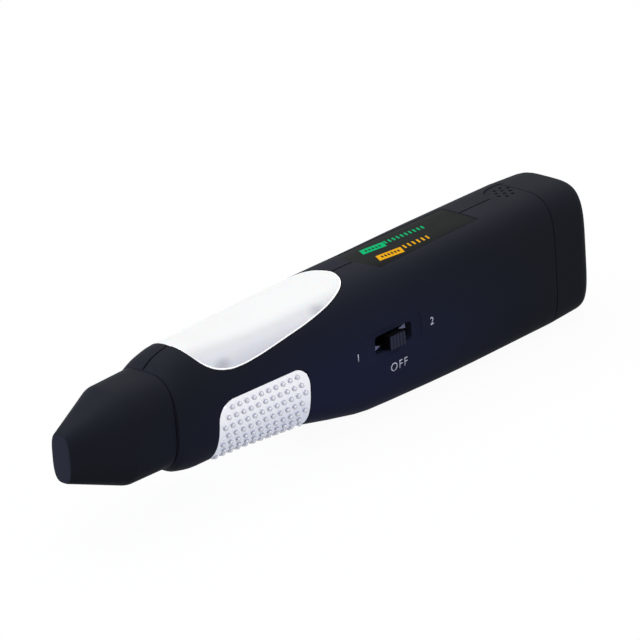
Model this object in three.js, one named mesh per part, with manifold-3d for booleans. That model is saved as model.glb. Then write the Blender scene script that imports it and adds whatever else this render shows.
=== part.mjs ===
// Diamond tester: a heated probe in a two-part casing, with a pull-off cap on its nose and a battery in
// its tail.
// Lengths are millimetres. +X runs from the nose to the tail, -Y is the side with the switch and +Z is up.
import * as THREE from "three";
import { mergeVertices } from "three/addons/utils/BufferGeometryUtils.js";
import Module from "manifold-3d";

const wasm = await Module();
wasm.setup();

// Casing. The handle runs from the cap to the battery's bay, and the battery gives the rest of the size.
const handleLength = 77.6;
const wall = 1.8;
const frontWall = 1.8;
const tailWall = 2;
const tailRounding = 2.3;
const flatCut = 0.2;
const seamGap = 0.3;
const partingGap = 0.2;
const overrun = 2;

// Squareness of a section: 2 is an ellipse, and larger is closer to a rectangle
const noseSquareness = 2.6;
const gripSquareness = 3.4;
const tailTopSquareness = 4;
const tailBottomSquareness = 4.6;

// The casing's form: places as shares of its length behind the cap, half widths as shares of half its width,
// tops and undersides as shares of its height
const placeShares = [0, 0.02, 0.062, 0.144, 0.257, 0.369, 0.452, 0.53, 0.722, 0.904, 1];
const widthShares = [0.795, 0.805, 0.828, 0.87, 0.928, 0.979, 1, 0.997, 0.98, 0.974, 0.974];
const topShares = [0.92, 0.967, 1, 0.985, 0.975, 0.98, 0.983, 0.979, 0.973, 0.968, 0.942];
const bottomShares = [0.252, 0.196, 0.167, 0.173, 0.153, 0.066, 0.008, 0, 0, 0, 0.024];
const squarePlaceShares = [0, 0.062, 0.257, 0.452, 0.722, 1];
const stationShares = [0, 0.009, 0.02, 0.04, 0.062, 0.1, 0.144, 0.2, 0.257, 0.32, 0.369, 0.41, 0.452,
  0.49, 0.53, 0.65, 0.78, 0.904];

// Cap
const capLength = 25.8;
const capTaperLength = 14.1;
const capWall = 1.3;
const capTipWall = 2;
const capTipWidth = 5.4;
const capTipHeight = 11.2;
const capShoulderWidth = 16;
const capShoulderHeight = 21.7;
const capSideStep = 0.64;
const capTopStep = 0.22;
const capSquareness = 3.1;
const capRounding = 0.7;
const capRimEase = 0.35;
const capShoulderEase = 0.09;
const capEdgeShares = [[0, 1], [0.33, 0.25], [1, 0]];
const capFit = 0.3;
const noseAxisShare = 0.5826;

// Neck that the cap pushes on to
const neckLength = 6.8;

// Probe, from its tip back
const pinTipAt = 3.6;
const pinRadius = 0.8;
const pinPointLength = 1.2;
const pinPointRadius = 0.35;
const pinShoulderRadius = 1.4;
const pinShoulderLength = 1;
const pinTravel = 1.5;
const slideFit = 0.12;
const sleeveAt = 6.4;
const sleeveWall = 0.6;
const coneTipAt = 8;
const coneTipRadius = 2.3;
const coneRadius = 4.4;
const coneTaperLength = 9;
const coneFit = 0.3;
const flangeRadius = 7.2;
const flangeThickness = 1.6;
const springTubeRadius = 3.6;
const springTubeBore = 2.8;
const heaterRadius = 2.1;
const heaterLength = 4;
const springRadius = 2;
const springWire = 0.4;
const springTurns = 7;
const springSpare = 4.1;
const springFlat = 0.25;
const plugThickness = 1.6;
const plugRimThickness = 0.8;
const plugHoleRadius = 0.9;
const lampRadius = 1.5;
const lampLength = 6;
const lampDrop = 6.6;
const lampReach = 2.4;
const lampRimRadius = 1.65;
const lampRimLength = 0.9;
const lampFit = 0.25;

// Light window: its ends in plan and its lower edge seen from the side
const windowSetback = 7.7;
const windowLength = 51.5;
const windowHalfWidth = 9.8;
const windowRise = 0.7;
const windowDrop = 7;
const windowThickness = 1;
const windowFit = 0.2;
const windowLedge = 1.2;
const windowPlanShares = [[0, 0], [0.008, 0.28], [0.027, 0.63], [0.052, 0.78], [0.078, 0.9], [0.12, 1.2],
  [0.62, 1.25], [0.73, 0.95], [0.845, 0.8], [0.9, 0.71], [0.945, 0.57], [0.985, 0.33], [1, 0]];
const windowSideShares = [[-0.06, 0.6], [0.02, 0.6], [0.078, 0.75], [0.126, 0.9], [0.2, 1], [0.29, 1],
  [0.38, 0.93], [0.48, 0.83], [0.58, 0.73], [0.73, 0.54], [0.845, 0.44], [1.06, 0.3]];

// Touch plate, which wraps under the grip from one side to the other
const plateSetback = 11.8;
const plateLength = 27.1;
const plateTopShare = 0.6156;
const plateCorner = 3.2;
const plateThickness = 0.6;
const plateFit = 0.2;

// Label in its recess on the top
const labelGap = 6.9;
const labelLength = 36;
const labelWidth = 12.4;
const labelBow = 2;
const labelRecess = 0.5;
const labelThickness = 0.3;
const labelFit = 0.2;

// Slide switch on the near side, with its knob in the middle position
const switchSetback = 12.3;
const switchHeightShare = 0.5255;
const slotLength = 11.9;
const slotHeight = 4.2;
const slotCorner = 0.6;
const scoopLength = 18.2;
const scoopHeight = 6.8;
const scoopCorner = 1.6;
const scoopDepth = 0.45;
const knobLength = 5.2;
const knobHeight = 3.4;
const knobReach = 1.7;
const knobTravel = 2.6;
const knobRibs = 5;
const knobRibDepth = 0.35;
const knobGrooveWidth = 0.35;
const knobStemLength = 2.8;
const knobStemHeight = 1.6;
const knobStemDepth = 1.2;
const switchBodyLength = 15;
const switchBodyHeight = 6.6;
const switchFit = 0.3;

// Main board, standing on edge behind the switch
const boardFrontGap = 3.65;
const boardRearGap = 2.4;
const boardArmSetback = 6.5;
const boardBottomShare = 0.2793;
const boardTopDrop = 7.3;
const boardArmRise = 3.4;
const boardThickness = 1.6;
const boardNearFace = 5;
const mountGap = 0.1;
const ledRadius = 1.5;
const ledHeight = 3.6;
const ledRimRadius = 1.8;
const ledRimHeight = 0.8;
const amberLedSetback = 3;
const greenLedShare = 0.3725;
const chipShare = 0.3137;
const chipLength = 10;
const chipBottomShare = 0.2515;
const chipHeight = 6.4;
const chipThickness = 1.6;
const chipPins = 5;
const chipPinLength = 1;
const chipPinWidth = 0.5;
const chipPinThickness = 0.3;
const capacitorShare = 0.5294;
const capacitorHeightShare = 0.1916;
const capacitorRadius = 2.5;
const capacitorLength = 5.6;
const capacitorGroove = 0.3;
const capacitorGrooveAt = 1.4;
const trimmerShare = 0.7157;
const trimmerBottomShare = 0.5509;
const trimmerSize = 5;
const trimmerThickness = 3;
const trimmerScrewRadius = 1.5;
const trimmerSlot = 0.5;
const contactSetback = 6;
const contactRadius = 0.7;
const contactHeadRadius = 1.1;
const contactHeadHeight = 0.7;
const contactFit = 0.3;

// Case screws, from the far side into the near shell
const screwRadius = 1;
const screwLength = 10;
const screwTipLength = 1;
const screwHeadRadius = 1.8;
const screwHeadHeight = 1.4;
const screwHeadAt = 6;
const screwCrownRadius = 0.9;
const screwCrownHeight = 0.5;
const screwSlotReach = 1.1;
const screwSlotWidth = 0.5;
const screwSlotDepth = 0.6;
const screwFit = 0.15;
const nearBossRadius = 2.1;
const farBossRadius = 3;
const screwNoseSetback = 9;
const screwNoseHeightShare = 0.3123;
const screwBellySetback = 15.4;
const screwBellyHeightShare = 0.1622;
const screwTopSetback = 3.9;
const screwTopHeightShare = 0.8468;

// Battery and its snap
const batteryLength = 46.4;
const batteryHeight = 26.5;
const batteryWidth = 17.5;
const batteryCorner = 2.2;
const batteryTailGap = 0.5;
const batteryFloorGap = 0.4;
const batteryHeadroom = 3.2;
const batterySideRoom = 1.2;
const bayFit = 0.3;
const bayFrontGap = 1.6;
const terminalLength = 2.2;
const terminalRadius = 2.9;
const terminalPitch = 12.7;
const terminalRimRadius = 3.4;
const terminalRimLength = 0.6;
const snapThickness = 2.6;
const snapWidth = 12.4;
const snapInset = 0.95;
const snapCorner = 3;
const snapCollarWall = 0.6;
const snapCollarFit = 0.3;
const snapGap = 0.3;
const leadRadius = 0.6;
const leadRise = 6;
const leadSpread = 3;
const probeLeadRadius = 0.5;
const probeLeadGap = 0.2;
const probeLeadShares = [[0, 0], [0.25, 0], [0.5, 0.5], [0.75, 1], [1, 1]];

// Battery cover
const coverLength = 12.8;
const spigotLength = 3.4;
const spigotOuterInset = 1.15;
const spigotSeatInset = 0.9;
const spigotDrop = 6.8;

// Buzzer and its grille
const grilleSetback = 4.4;
const grilleLength = 7.2;
const grilleWidth = 10;
const grilleDepth = 0.8;
const grilleHoleRadius = 0.45;
const grillePitch = 1.7;
const grilleRingHoles = 6;
const buzzerRadius = 4;
const buzzerThickness = 0.5;
const buzzerCeramicRadius = 2.8;
const buzzerCeramicThickness = 0.2;
const buzzerSeatWall = 0.6;
const buzzerSeatDepth = 1.1;
const buzzerFit = 0.3;

// Fineness of the curved faces, and how near two points are to be one
const ringPoints = 32;
const roundSides = 20;
const smallSides = 12;
const leadSides = 6;
const leadSteps = 8;
const cornerSteps = 4;
const tailSteps = 4;
const springSides = 5;
const springSteps = 8;
const weld = 1e-4;

// Sizes and places worked out from the others
const casingWidth = batteryWidth + 2 * (wall + batterySideRoom);
const casingHeight = batteryHeight + 2 * wall + batteryHeadroom;
const bayFrontAt = capLength + handleLength;
const snapRearAt = bayFrontAt + bayFrontGap + snapThickness;
const batteryFrontAt = snapRearAt + snapGap + terminalLength;
const batteryRearAt = batteryFrontAt + batteryLength;
const overallLength = batteryRearAt + batteryTailGap + tailWall;
const casingLength = overallLength - capLength;
const bodyFrontAt = capLength + seamGap / 2;
const coverFrontAt = overallLength - coverLength + seamGap / 2;
const shellRearAt = overallLength - coverLength - seamGap / 2;
const neckFrontAt = capLength - neckLength;
const farOut = casingWidth;
const capMouthWidth = widthShares[0] * casingWidth - 2 * capSideStep;
const capMouthHeight = (topShares[0] - bottomShares[0]) * casingHeight - 2 * capTopStep;
const noseAxisHeight = noseAxisShare * casingHeight;
const windowFrontAt = capLength + windowSetback;
const windowTopLine = casingHeight + windowRise;
const plateFrontAt = capLength + plateSetback;
const plateTop = plateTopShare * casingHeight;
const labelFrontAt = windowFrontAt + windowLength + labelGap;
const switchAt = bayFrontAt - switchSetback;
const switchHeight = switchHeightShare * casingHeight;
const spigotTop = casingHeight - spigotDrop;
const grilleAt = overallLength - coverLength - grilleSetback;
const screwPlaces = {
  screw_nose: [capLength + screwNoseSetback, screwNoseHeightShare * casingHeight],
  screw_belly: [bayFrontAt - screwBellySetback, screwBellyHeightShare * casingHeight],
  screw_top: [bayFrontAt - screwTopSetback, screwTopHeightShare * casingHeight],
};

// Value at x of a smooth line through the given places and values, which never swings past them
function smooth(places, values, x) {
  const last = places.length - 1;
  const slopes = places.slice(1).map((p, i) => (values[i + 1] - values[i]) / (p - places[i]));
  const tangent = (i) => {
    if (i === 0) return slopes[0];
    if (i === last) return slopes[last - 1];
    const [before, after] = [slopes[i - 1], slopes[i]];
    return before * after <= 0 ? 0 : (2 * before * after) / (before + after);
  };
  const inside = Math.min(Math.max(x, places[0]), places[last]);
  const i = Math.min(places.findIndex((p, k) => k === last || inside <= places[k + 1]), last - 1);
  const span = places[i + 1] - places[i];
  const t = (inside - places[i]) / span;
  const over = 3 * t ** 2 - 2 * t ** 3;
  const leave = (t ** 3 - 2 * t ** 2 + t) * span * tangent(i);
  const arrive = (t ** 3 - t ** 2) * span * tangent(i + 1);
  return (1 - over) * values[i] + over * values[i + 1] + leave + arrive;
}

// Section of the casing at x, drawn in by inset
function casingSection(x, inset) {
  const share = (x - capLength) / casingLength;
  const noseToTail = (tail) => [noseSquareness, noseSquareness, gripSquareness, gripSquareness, tail, tail];
  return {
    x,
    halfWidth: (smooth(placeShares, widthShares, share) * casingWidth) / 2 - inset,
    top: smooth(placeShares, topShares, share) * casingHeight - inset,
    bottom: smooth(placeShares, bottomShares, share) * casingHeight - flatCut + inset,
    squareTop: smooth(squarePlaceShares, noseToTail(tailTopSquareness), share),
    squareBottom: smooth(squarePlaceShares, noseToTail(tailBottomSquareness), share),
  };
}

// Section of the cap at x, drawn in by inset
function capSection(x, inset) {
  const taper = Math.min(x / capTaperLength, 1);
  const skirt = Math.max((x - capTaperLength) / (capLength - capTaperLength), 0);
  const between = (tip, shoulder, mouth) => tip + (shoulder - tip) * taper + (mouth - shoulder) * skirt;
  const halfHeight = between(capTipHeight, capShoulderHeight, capMouthHeight) / 2;
  return {
    x,
    halfWidth: between(capTipWidth, capShoulderWidth, capMouthWidth) / 2 - inset,
    top: noseAxisHeight + halfHeight - inset,
    bottom: noseAxisHeight - halfHeight + inset,
    squareTop: capSquareness,
    squareBottom: capSquareness,
  };
}

// Points round one section
function ringOf(section) {
  const centre = (section.top + section.bottom) / 2;
  const halfHeight = (section.top - section.bottom) / 2;
  return Array.from({ length: ringPoints }, (_, i) => {
    const angle = (i / ringPoints) * 2 * Math.PI;
    const [c, s] = [Math.cos(angle), Math.sin(angle)];
    const power = 2 / (s >= 0 ? section.squareTop : section.squareBottom);
    const y = section.halfWidth * Math.sign(c) * Math.abs(c) ** power;
    const z = centre + halfHeight * Math.sign(s) * Math.abs(s) ** power;
    return [section.x, y, z];
  });
}

// Closed skin through a row of sections
function loft(sections) {
  const rings = sections.map(ringOf);
  const points = rings.flat();
  const faces = [];
  for (let r = 0; r + 1 < rings.length; r += 1) {
    for (let i = 0; i < ringPoints; i += 1) {
      const next = (i + 1) % ringPoints;
      const [a, b] = [r * ringPoints + i, r * ringPoints + next];
      faces.push(a, b, b + ringPoints, a, b + ringPoints, a + ringPoints);
    }
  }
  const closeEnd = (section, start, first) => {
    const centre = points.length;
    points.push([section.x, 0, (section.top + section.bottom) / 2]);
    for (let i = 0; i < ringPoints; i += 1) {
      const pair = [start + i, start + ((i + 1) % ringPoints)];
      faces.push(centre, ...(first ? pair.reverse() : pair));
    }
  };
  closeEnd(sections[0], 0, true);
  closeEnd(sections.at(-1), (sections.length - 1) * ringPoints, false);
  const geometry = new THREE.BufferGeometry();
  geometry.setAttribute("position", new THREE.Float32BufferAttribute(points.flat(), 3));
  geometry.setIndex(faces);
  return solidOf(geometry);
}

// Solid of a closed geometry, turned face out if its profile runs the other way
function solidOf(geometry) {
  const bare = geometry.clone();
  bare.deleteAttribute("normal");
  bare.deleteAttribute("uv");
  const merged = mergeVertices(bare, weld);
  const triVerts = new Uint32Array(merged.index.array);
  const mesh = { numProp: 3, vertProperties: merged.attributes.position.array, triVerts };
  const made = new wasm.Manifold(new wasm.Mesh(mesh));
  if (made.volume() > 0) return made;
  for (let i = 0; i < triVerts.length; i += 3) {
    [triVerts[i + 1], triVerts[i + 2]] = [triVerts[i + 2], triVerts[i + 1]];
  }
  return new wasm.Manifold(new wasm.Mesh(mesh));
}

// Mesh of a solid, with its own material
function piece(name, solid, [color, roughness, metalness]) {
  const { numProp, vertProperties, triVerts } = solid.getMesh();
  const points = [];
  for (let i = 0; i < vertProperties.length; i += numProp) points.push(...vertProperties.subarray(i, i + 3));
  const geometry = new THREE.BufferGeometry();
  geometry.setAttribute("position", new THREE.Float32BufferAttribute(points, 3));
  geometry.setIndex(new THREE.BufferAttribute(triVerts, 1));
  geometry.computeVertexNormals();
  const mesh = new THREE.Mesh(geometry, new THREE.MeshStandardMaterial({ color, roughness, metalness }));
  mesh.name = name;
  return mesh;
}

// Union of several solids
function joined(solids) {
  return solids.reduce((whole, next) => whole.add(next));
}

// Box between two corners
function box([x0, y0, z0], [x1, y1, z1]) {
  const geometry = new THREE.BoxGeometry(x1 - x0, y1 - y0, z1 - z0);
  geometry.translate((x0 + x1) / 2, (y0 + y1) / 2, (z0 + z1) / 2);
  return solidOf(geometry);
}

// Outline through [across, up] points
function outline(points) {
  return new THREE.Shape(points.map(([across, up]) => new THREE.Vector2(across, up)));
}

// Rectangle with round corners
function roundedOutline(x0, x1, y0, y1, corner) {
  const shape = new THREE.Shape();
  shape.absarc(x1 - corner, y1 - corner, corner, 0, Math.PI / 2);
  shape.absarc(x0 + corner, y1 - corner, corner, Math.PI / 2, Math.PI);
  shape.absarc(x0 + corner, y0 + corner, corner, Math.PI, 1.5 * Math.PI);
  shape.absarc(x1 - corner, y0 + corner, corner, 1.5 * Math.PI, 2 * Math.PI);
  return shape;
}

// Outline drawn out to a depth
function drawnOut(shape, depth) {
  return new THREE.ExtrudeGeometry(shape, { depth, bevelEnabled: false, curveSegments: cornerSteps });
}

// Prism of an outline in X and Z, between two places across
function sidePrism(shape, y0, y1) {
  const geometry = drawnOut(shape, y1 - y0);
  geometry.rotateX(Math.PI / 2);
  geometry.translate(0, y1, 0);
  return solidOf(geometry);
}

// Prism of an outline in X and Y, between two heights
function planPrism(shape, z0, z1) {
  const geometry = drawnOut(shape, z1 - z0);
  geometry.translate(0, 0, z0);
  return solidOf(geometry);
}

// Prism of an outline in Y and Z, between two places along
function endPrism(shape, x0, x1) {
  const geometry = drawnOut(shape, x1 - x0);
  geometry.rotateX(Math.PI / 2);
  geometry.rotateZ(Math.PI / 2);
  geometry.translate(x0, 0, 0);
  return solidOf(geometry);
}

// Turned solid from [radius, along] points that start and end on its axis, which runs along X at a height
function turnedAlong(profile, height, sides = roundSides) {
  const geometry = new THREE.LatheGeometry(profile.map(([r, along]) => new THREE.Vector2(r, along)), sides);
  geometry.rotateZ(-Math.PI / 2);
  geometry.translate(0, 0, height);
  return solidOf(geometry);
}

// Turned solid whose axis stands up at x, y
function turnedUp(profile, x, y, sides = smallSides) {
  const geometry = new THREE.LatheGeometry(profile.map(([r, up]) => new THREE.Vector2(r, up)), sides);
  geometry.rotateX(Math.PI / 2);
  geometry.translate(x, y, 0);
  return solidOf(geometry);
}

// Turned solid whose axis runs across at x, z
function turnedAcross(profile, x, z, sides = smallSides) {
  const geometry = new THREE.LatheGeometry(profile.map(([r, across]) => new THREE.Vector2(r, across)), sides);
  geometry.translate(x, 0, z);
  return solidOf(geometry);
}

// Profile of a plain rod between two places
function rod(radius, from, to) {
  return [[0, from], [radius, from], [radius, to], [0, to]];
}

// Round tube along a smooth curve
function leadThrough(points, radius) {
  const path = new THREE.CatmullRomCurve3(points.map(([x, y, z]) => new THREE.Vector3(x, y, z)));
  return tubeOnPath(path, radius, leadSteps, leadSides);
}

function tubeOnPath(path, radius, steps, sides) {
  const section = outline(Array.from({ length: sides }, (_, i) => {
    const angle = (i / sides) * 2 * Math.PI;
    return [radius * Math.cos(angle), radius * Math.sin(angle)];
  }));
  return solidOf(new THREE.ExtrudeGeometry(section, { steps, extrudePath: path, bevelEnabled: false }));
}

// Places along the casing, between two others, where its form is drawn
function stationsBetween(from, to) {
  return stationShares.map((share) => capLength + share * casingLength).filter((x) => x > from && x < to);
}

// Casing's form between two places, drawn in by inset
function casingForm(inset, from, to) {
  return loft([from, ...stationsBetween(from, to), to].map((x) => casingSection(x, inset)));
}

// Casing's whole outer form, with its rounded tail and its flat underside
function outerForm() {
  const roundFrom = overallLength - tailRounding;
  const straight = [bodyFrontAt, ...stationsBetween(bodyFrontAt, roundFrom)];
  const sections = straight.map((x) => casingSection(x, 0));
  for (let i = 0; i <= tailSteps; i += 1) {
    const turn = (i / tailSteps) * (Math.PI / 2);
    const inset = tailRounding * (1 - Math.cos(turn));
    sections.push(casingSection(roundFrom + tailRounding * Math.sin(turn), inset));
  }
  const flat = box([0, -farOut, 0], [overallLength + overrun, farOut, casingHeight + overrun]);
  return loft(sections).intersect(flat);
}

// Skin of the casing from one depth under its surface to another
function casingSkin(from, to) {
  const outer = casingForm(from, bodyFrontAt, shellRearAt);
  return outer.subtract(casingForm(to, bodyFrontAt - overrun, shellRearAt + overrun));
}

// Cap's form between two places, drawn in by inset
function capForm(inset, from, to) {
  const taper = from < capTaperLength ? [capTaperLength] : [];
  return loft([from, ...taper, to].map((x) => capSection(x, inset)));
}

// Light window's outline as one solid, grown by margin
function windowCutter(margin) {
  const place = (share) => windowFrontAt + share * windowLength + margin * Math.sign(share - 0.5);
  const reach = (out) => (out ? out * windowHalfWidth + margin : 0);
  const half = windowPlanShares.map(([along, out]) => [place(along), reach(out)]);
  const far = half.slice(1, -1).reverse().map(([x, y]) => [x, -y]);
  const lowest = windowTopLine - windowDrop - overrun;
  const plan = planPrism(outline([...half, ...far]), lowest, windowTopLine + overrun);
  const edge = windowSideShares.map(([along, down]) => {
    const height = windowTopLine - down * windowDrop - margin;
    return new THREE.Vector2(windowFrontAt + along * windowLength, height);
  });
  const low = new THREE.SplineCurve(edge).getPoints(2 * edge.length).map((p) => [p.x, p.y]);
  const top = windowTopLine + 2 * overrun;
  const side = sidePrism(outline([...low, [low.at(-1)[0], top], [low[0][0], top]]), -farOut, farOut);
  return plan.intersect(side);
}

// Touch plate's outline as one solid through the casing, grown by margin
function plateCutter(margin) {
  const [front, rear] = [plateFrontAt - margin, plateFrontAt + plateLength + margin];
  const shape = roundedOutline(front, rear, -casingHeight, plateTop + margin, plateCorner);
  return sidePrism(shape, -farOut, farOut);
}

// Label's outline as one solid through the top, grown by margin: its front end is an arc
function labelCutter(margin) {
  const [front, rear] = [labelFrontAt - margin, labelFrontAt + labelLength + margin];
  const half = labelWidth / 2 + margin;
  const bow = (t) => front + labelBow * t * t;
  const arc = Array.from({ length: 2 * cornerSteps + 1 }, (_, i) => {
    const t = i / cornerSteps - 1;
    return [bow(t), -t * half];
  });
  return planPrism(outline([...arc, [rear, -half], [rear, half]]), casingHeight / 2, casingHeight + overrun);
}

// Grille: a shallow oval dish, with holes through its floor
function grilleCutter() {
  const top = casingSection(grilleAt, 0).top;
  const dish = new THREE.Shape();
  dish.absellipse(grilleAt, 0, grilleLength / 2, grilleWidth / 2, 0, 2 * Math.PI);
  const hole = rod(grilleHoleRadius, top - 2 * wall, top + overrun);
  const holes = grillePlaces().map(([x, y]) => turnedUp(hole, x, y));
  const geometry = new THREE.ExtrudeGeometry(dish, { depth: grilleDepth + overrun, bevelEnabled: false });
  geometry.translate(0, 0, top - grilleDepth);
  return joined([solidOf(geometry), ...holes]);
}

function grillePlaces() {
  const ring = Array.from({ length: grilleRingHoles }, (_, i) => {
    const angle = ((i + 0.5) / grilleRingHoles) * 2 * Math.PI;
    return [grilleAt + grillePitch * Math.cos(angle), grillePitch * Math.sin(angle)];
  });
  return [[grilleAt, 0], ...ring];
}

// Room for the battery in shells and cover
function batteryBay(from, to, room) {
  const low = batteryBottom() - room;
  const high = batteryBottom() + batteryHeight + room;
  const half = batteryWidth / 2 + room;
  return endPrism(roundedOutline(-half, half, low, high, batteryCorner), from, to);
}

function batteryBottom() {
  return wall - flatCut + batteryFloorGap;
}

// Heights and depths of the probe's row of parts
const flangeAt = bodyFrontAt + frontWall + coneFit;
const flangeRearAt = flangeAt + flangeThickness;
const pinShoulderAt = flangeRearAt + coneFit;
const heaterAt = pinShoulderAt + pinShoulderLength;
const springFrontAt = heaterAt + heaterLength + mountGap;
const springRearAt = springFrontAt + (springTurns + 1) * springWire + pinTravel + springSpare;
const plugAt = springRearAt + mountGap;
const springTubeRearAt = plugAt + plugThickness;
const plugRearAt = springTubeRearAt + mountGap + plugRimThickness;
const lampHeight = noseAxisHeight - lampDrop;

// Places of the main board and of what it carries
const boardFarFace = boardNearFace - boardThickness;
const boardFrontAt = plugRearAt + boardFrontGap;
const boardRearAt = bayFrontAt - boardRearGap;
const boardLength = boardRearAt - boardFrontAt;
const boardBottom = boardBottomShare * casingHeight;
const boardTop = casingHeight - boardTopDrop;
const boardHeight = boardTop - boardBottom;
const boardArmAt = windowFrontAt + boardArmSetback;
const boardArmBottom = noseAxisHeight + boardArmRise;
const amberLedAt = boardArmAt + amberLedSetback;
const greenLedAt = boardFrontAt + greenLedShare * boardLength;
const chipAt = boardFrontAt + chipShare * boardLength - chipLength / 2;
const chipBottom = boardBottom + chipBottomShare * boardHeight;
const capacitorAt = boardFrontAt + capacitorShare * boardLength;
const capacitorHeight = boardBottom + capacitorHeightShare * boardHeight;
const trimmerAt = boardFrontAt + trimmerShare * boardLength - trimmerSize / 2;
const trimmerBottom = boardBottom + trimmerBottomShare * boardHeight;
const contactAt = boardFrontAt + contactSetback;

// Nose: the neck under the cap, solid but for the probe's bore and the lamp's
function neck() {
  const outer = capForm(capWall + capFit, neckFrontAt, bodyFrontAt + frontWall);
  const bore = turnedAlong(rod(coneRadius + coneFit, neckFrontAt - overrun, flangeAt), noseAxisHeight);
  const lampBore = rod(lampRadius + lampFit, neckFrontAt - overrun, flangeAt);
  return { outer, bores: bore.add(turnedAlong(lampBore, lampHeight, smallSides)) };
}

// Boss for a case screw: near side blind, far side counterbored
function bosses() {
  return Object.values(screwPlaces).map(([x, z]) => {
    const near = turnedAcross(rod(nearBossRadius, -casingWidth / 2, 0), x, z);
    const far = turnedAcross(rod(farBossRadius, 0, casingWidth / 2), x, z);
    const pilot = rod(screwRadius + screwFit, screwHeadAt - screwLength - screwFit, screwHeadAt + overrun);
    const headRoom = turnedAcross(rod(screwHeadRadius + screwFit, screwHeadAt - screwFit, farOut), x, z);
    return { solid: near.add(far), hole: turnedAcross(pilot, x, z).add(headRoom) };
  });
}

// Casing before it is parted: walls, neck, bosses and seats, with every opening cut
function wholeCasing() {
  const outer = outerForm();
  const hollow = casingForm(wall, bodyFrontAt + frontWall, overallLength - tailWall);
  const { outer: neckSolid, bores } = neck();
  const posts = bosses();
  const buzzerTop = casingSection(grilleAt, wall).top;
  const seatRadius = buzzerRadius + buzzerFit;
  const seatRim = rod(seatRadius + buzzerSeatWall, buzzerTop - buzzerSeatDepth, buzzerTop + wall / 2);
  const seatRoom = rod(seatRadius, buzzerTop - 2 * buzzerSeatDepth, buzzerTop);
  const seat = turnedUp(seatRim, grilleAt, 0, roundSides)
    .subtract(turnedUp(seatRoom, grilleAt, 0, roundSides));
  const inside = joined([...posts.map((post) => post.solid), seat]).intersect(outer);
  const spigotSeat = casingForm(spigotSeatInset, shellRearAt - spigotLength - seamGap, shellRearAt + overrun)
    .intersect(box([0, -farOut, -overrun], [overallLength, farOut, spigotTop + seamGap]));
  const windowRecess = casingSkin(-overrun, windowThickness + windowFit).intersect(windowCutter(windowFit));
  const plateRecess = casingSkin(-overrun, plateThickness + plateFit).intersect(plateCutter(plateFit));
  const labelSeat = casingSkin(-overrun, labelRecess).intersect(labelCutter(labelFit));
  const contactHole = turnedUp(rod(contactRadius + contactFit, 0, boardBottom), contactAt, -boardMiddle());
  const cuts = [
    ...posts.map((post) => post.hole),
    bores,
    spigotSeat,
    windowRecess,
    windowCutter(-windowLedge).intersect(casingForm(0, bodyFrontAt, shellRearAt)),
    plateRecess,
    labelSeat,
    contactHole,
    grilleCutter(),
    batteryBay(bayFrontAt, overallLength - tailWall, bayFit),
  ];
  const walls = outer.subtract(hollow).add(neckSolid).add(inside);
  return cuts.reduce((whole, cut) => whole.subtract(cut), walls);
}

function boardMiddle() {
  return (boardNearFace + boardFarFace) / 2;
}

// Opening and finger scoop for the switch
function switchCutter() {
  const face = sideSurfaceAt(switchAt, switchHeight);
  const around = (length, height, corner) => roundedOutline(switchAt - length / 2, switchAt + length / 2,
    switchHeight - height / 2, switchHeight + height / 2, corner);
  const slot = sidePrism(around(slotLength, slotHeight, slotCorner), -face - overrun, -face + 2 * wall);
  const scoop = around(scoopLength, scoopHeight, scoopCorner);
  return slot.add(sidePrism(scoop, -face - overrun, -face + scoopDepth));
}

// Distance from the middle plane to the casing's side at a place along and a height
function sideSurfaceAt(x, z) {
  const section = casingSection(x, 0);
  const centre = (section.top + section.bottom) / 2;
  const power = z >= centre ? section.squareTop : section.squareBottom;
  const up = Math.abs(z - centre) / ((section.top - section.bottom) / 2);
  return section.halfWidth * (1 - up ** power) ** (1 / power);
}

// Both shells, and the cover that closes the battery's bay
function casingPieces() {
  const whole = wholeCasing();
  const [top, low] = [casingHeight + overrun, -overrun];
  const nearHalf = box([neckFrontAt - overrun, -farOut, low], [shellRearAt, -partingGap / 2, top]);
  const farHalf = box([neckFrontAt - overrun, partingGap / 2, low], [shellRearAt, farOut, top]);
  const tail = box([coverFrontAt, -farOut, low], [overallLength + overrun, farOut, top]);
  const spigot = casingForm(spigotOuterInset, coverFrontAt - spigotLength, coverFrontAt + wall)
    .intersect(box([0, -farOut, low], [overallLength, farOut, spigotTop]))
    .subtract(batteryBay(bayFrontAt, overallLength - tailWall, bayFit));
  return {
    near: whole.intersect(nearHalf).subtract(switchCutter()),
    far: whole.intersect(farHalf),
    cover: whole.intersect(tail).add(spigot),
  };
}

// Cap with a hollow that clears the nose
function capSolid() {
  const start = capEdgeShares.map(([along, inset]) => capSection(along * capRounding, inset * capRounding));
  const end = capLength - seamGap / 2;
  const skirt = [capSection(capTaperLength - capRounding, 0), capSection(capTaperLength, capShoulderEase),
    capSection(capTaperLength + capRounding, 0), capSection(end - capRimEase, 0),
    capSection(end, capRimEase / 2)];
  const hollow = capForm(capWall, capTipWall, end + overrun);
  return loft([...start, ...skirt]).subtract(hollow);
}

// Housing that carries the probe: cone, flange and spring tube, bored right through
function noseCone() {
  const profile = [[0, coneTipAt], [coneTipRadius, coneTipAt], [coneRadius, coneTipAt + coneTaperLength],
    [coneRadius, flangeAt], [flangeRadius, flangeAt], [flangeRadius, flangeRearAt],
    [springTubeRadius, flangeRearAt], [springTubeRadius, springTubeRearAt], [0, springTubeRearAt]];
  const sleeveBore = pinRadius + slideFit + sleeveWall + slideFit;
  const bore = rod(sleeveBore, coneTipAt - overrun, flangeRearAt + overrun);
  const room = rod(springTubeBore, flangeRearAt, springTubeRearAt + overrun);
  return turnedAlong(profile, noseAxisHeight).subtract(turnedAlong(bore, noseAxisHeight))
    .subtract(turnedAlong(room, noseAxisHeight));
}

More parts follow.
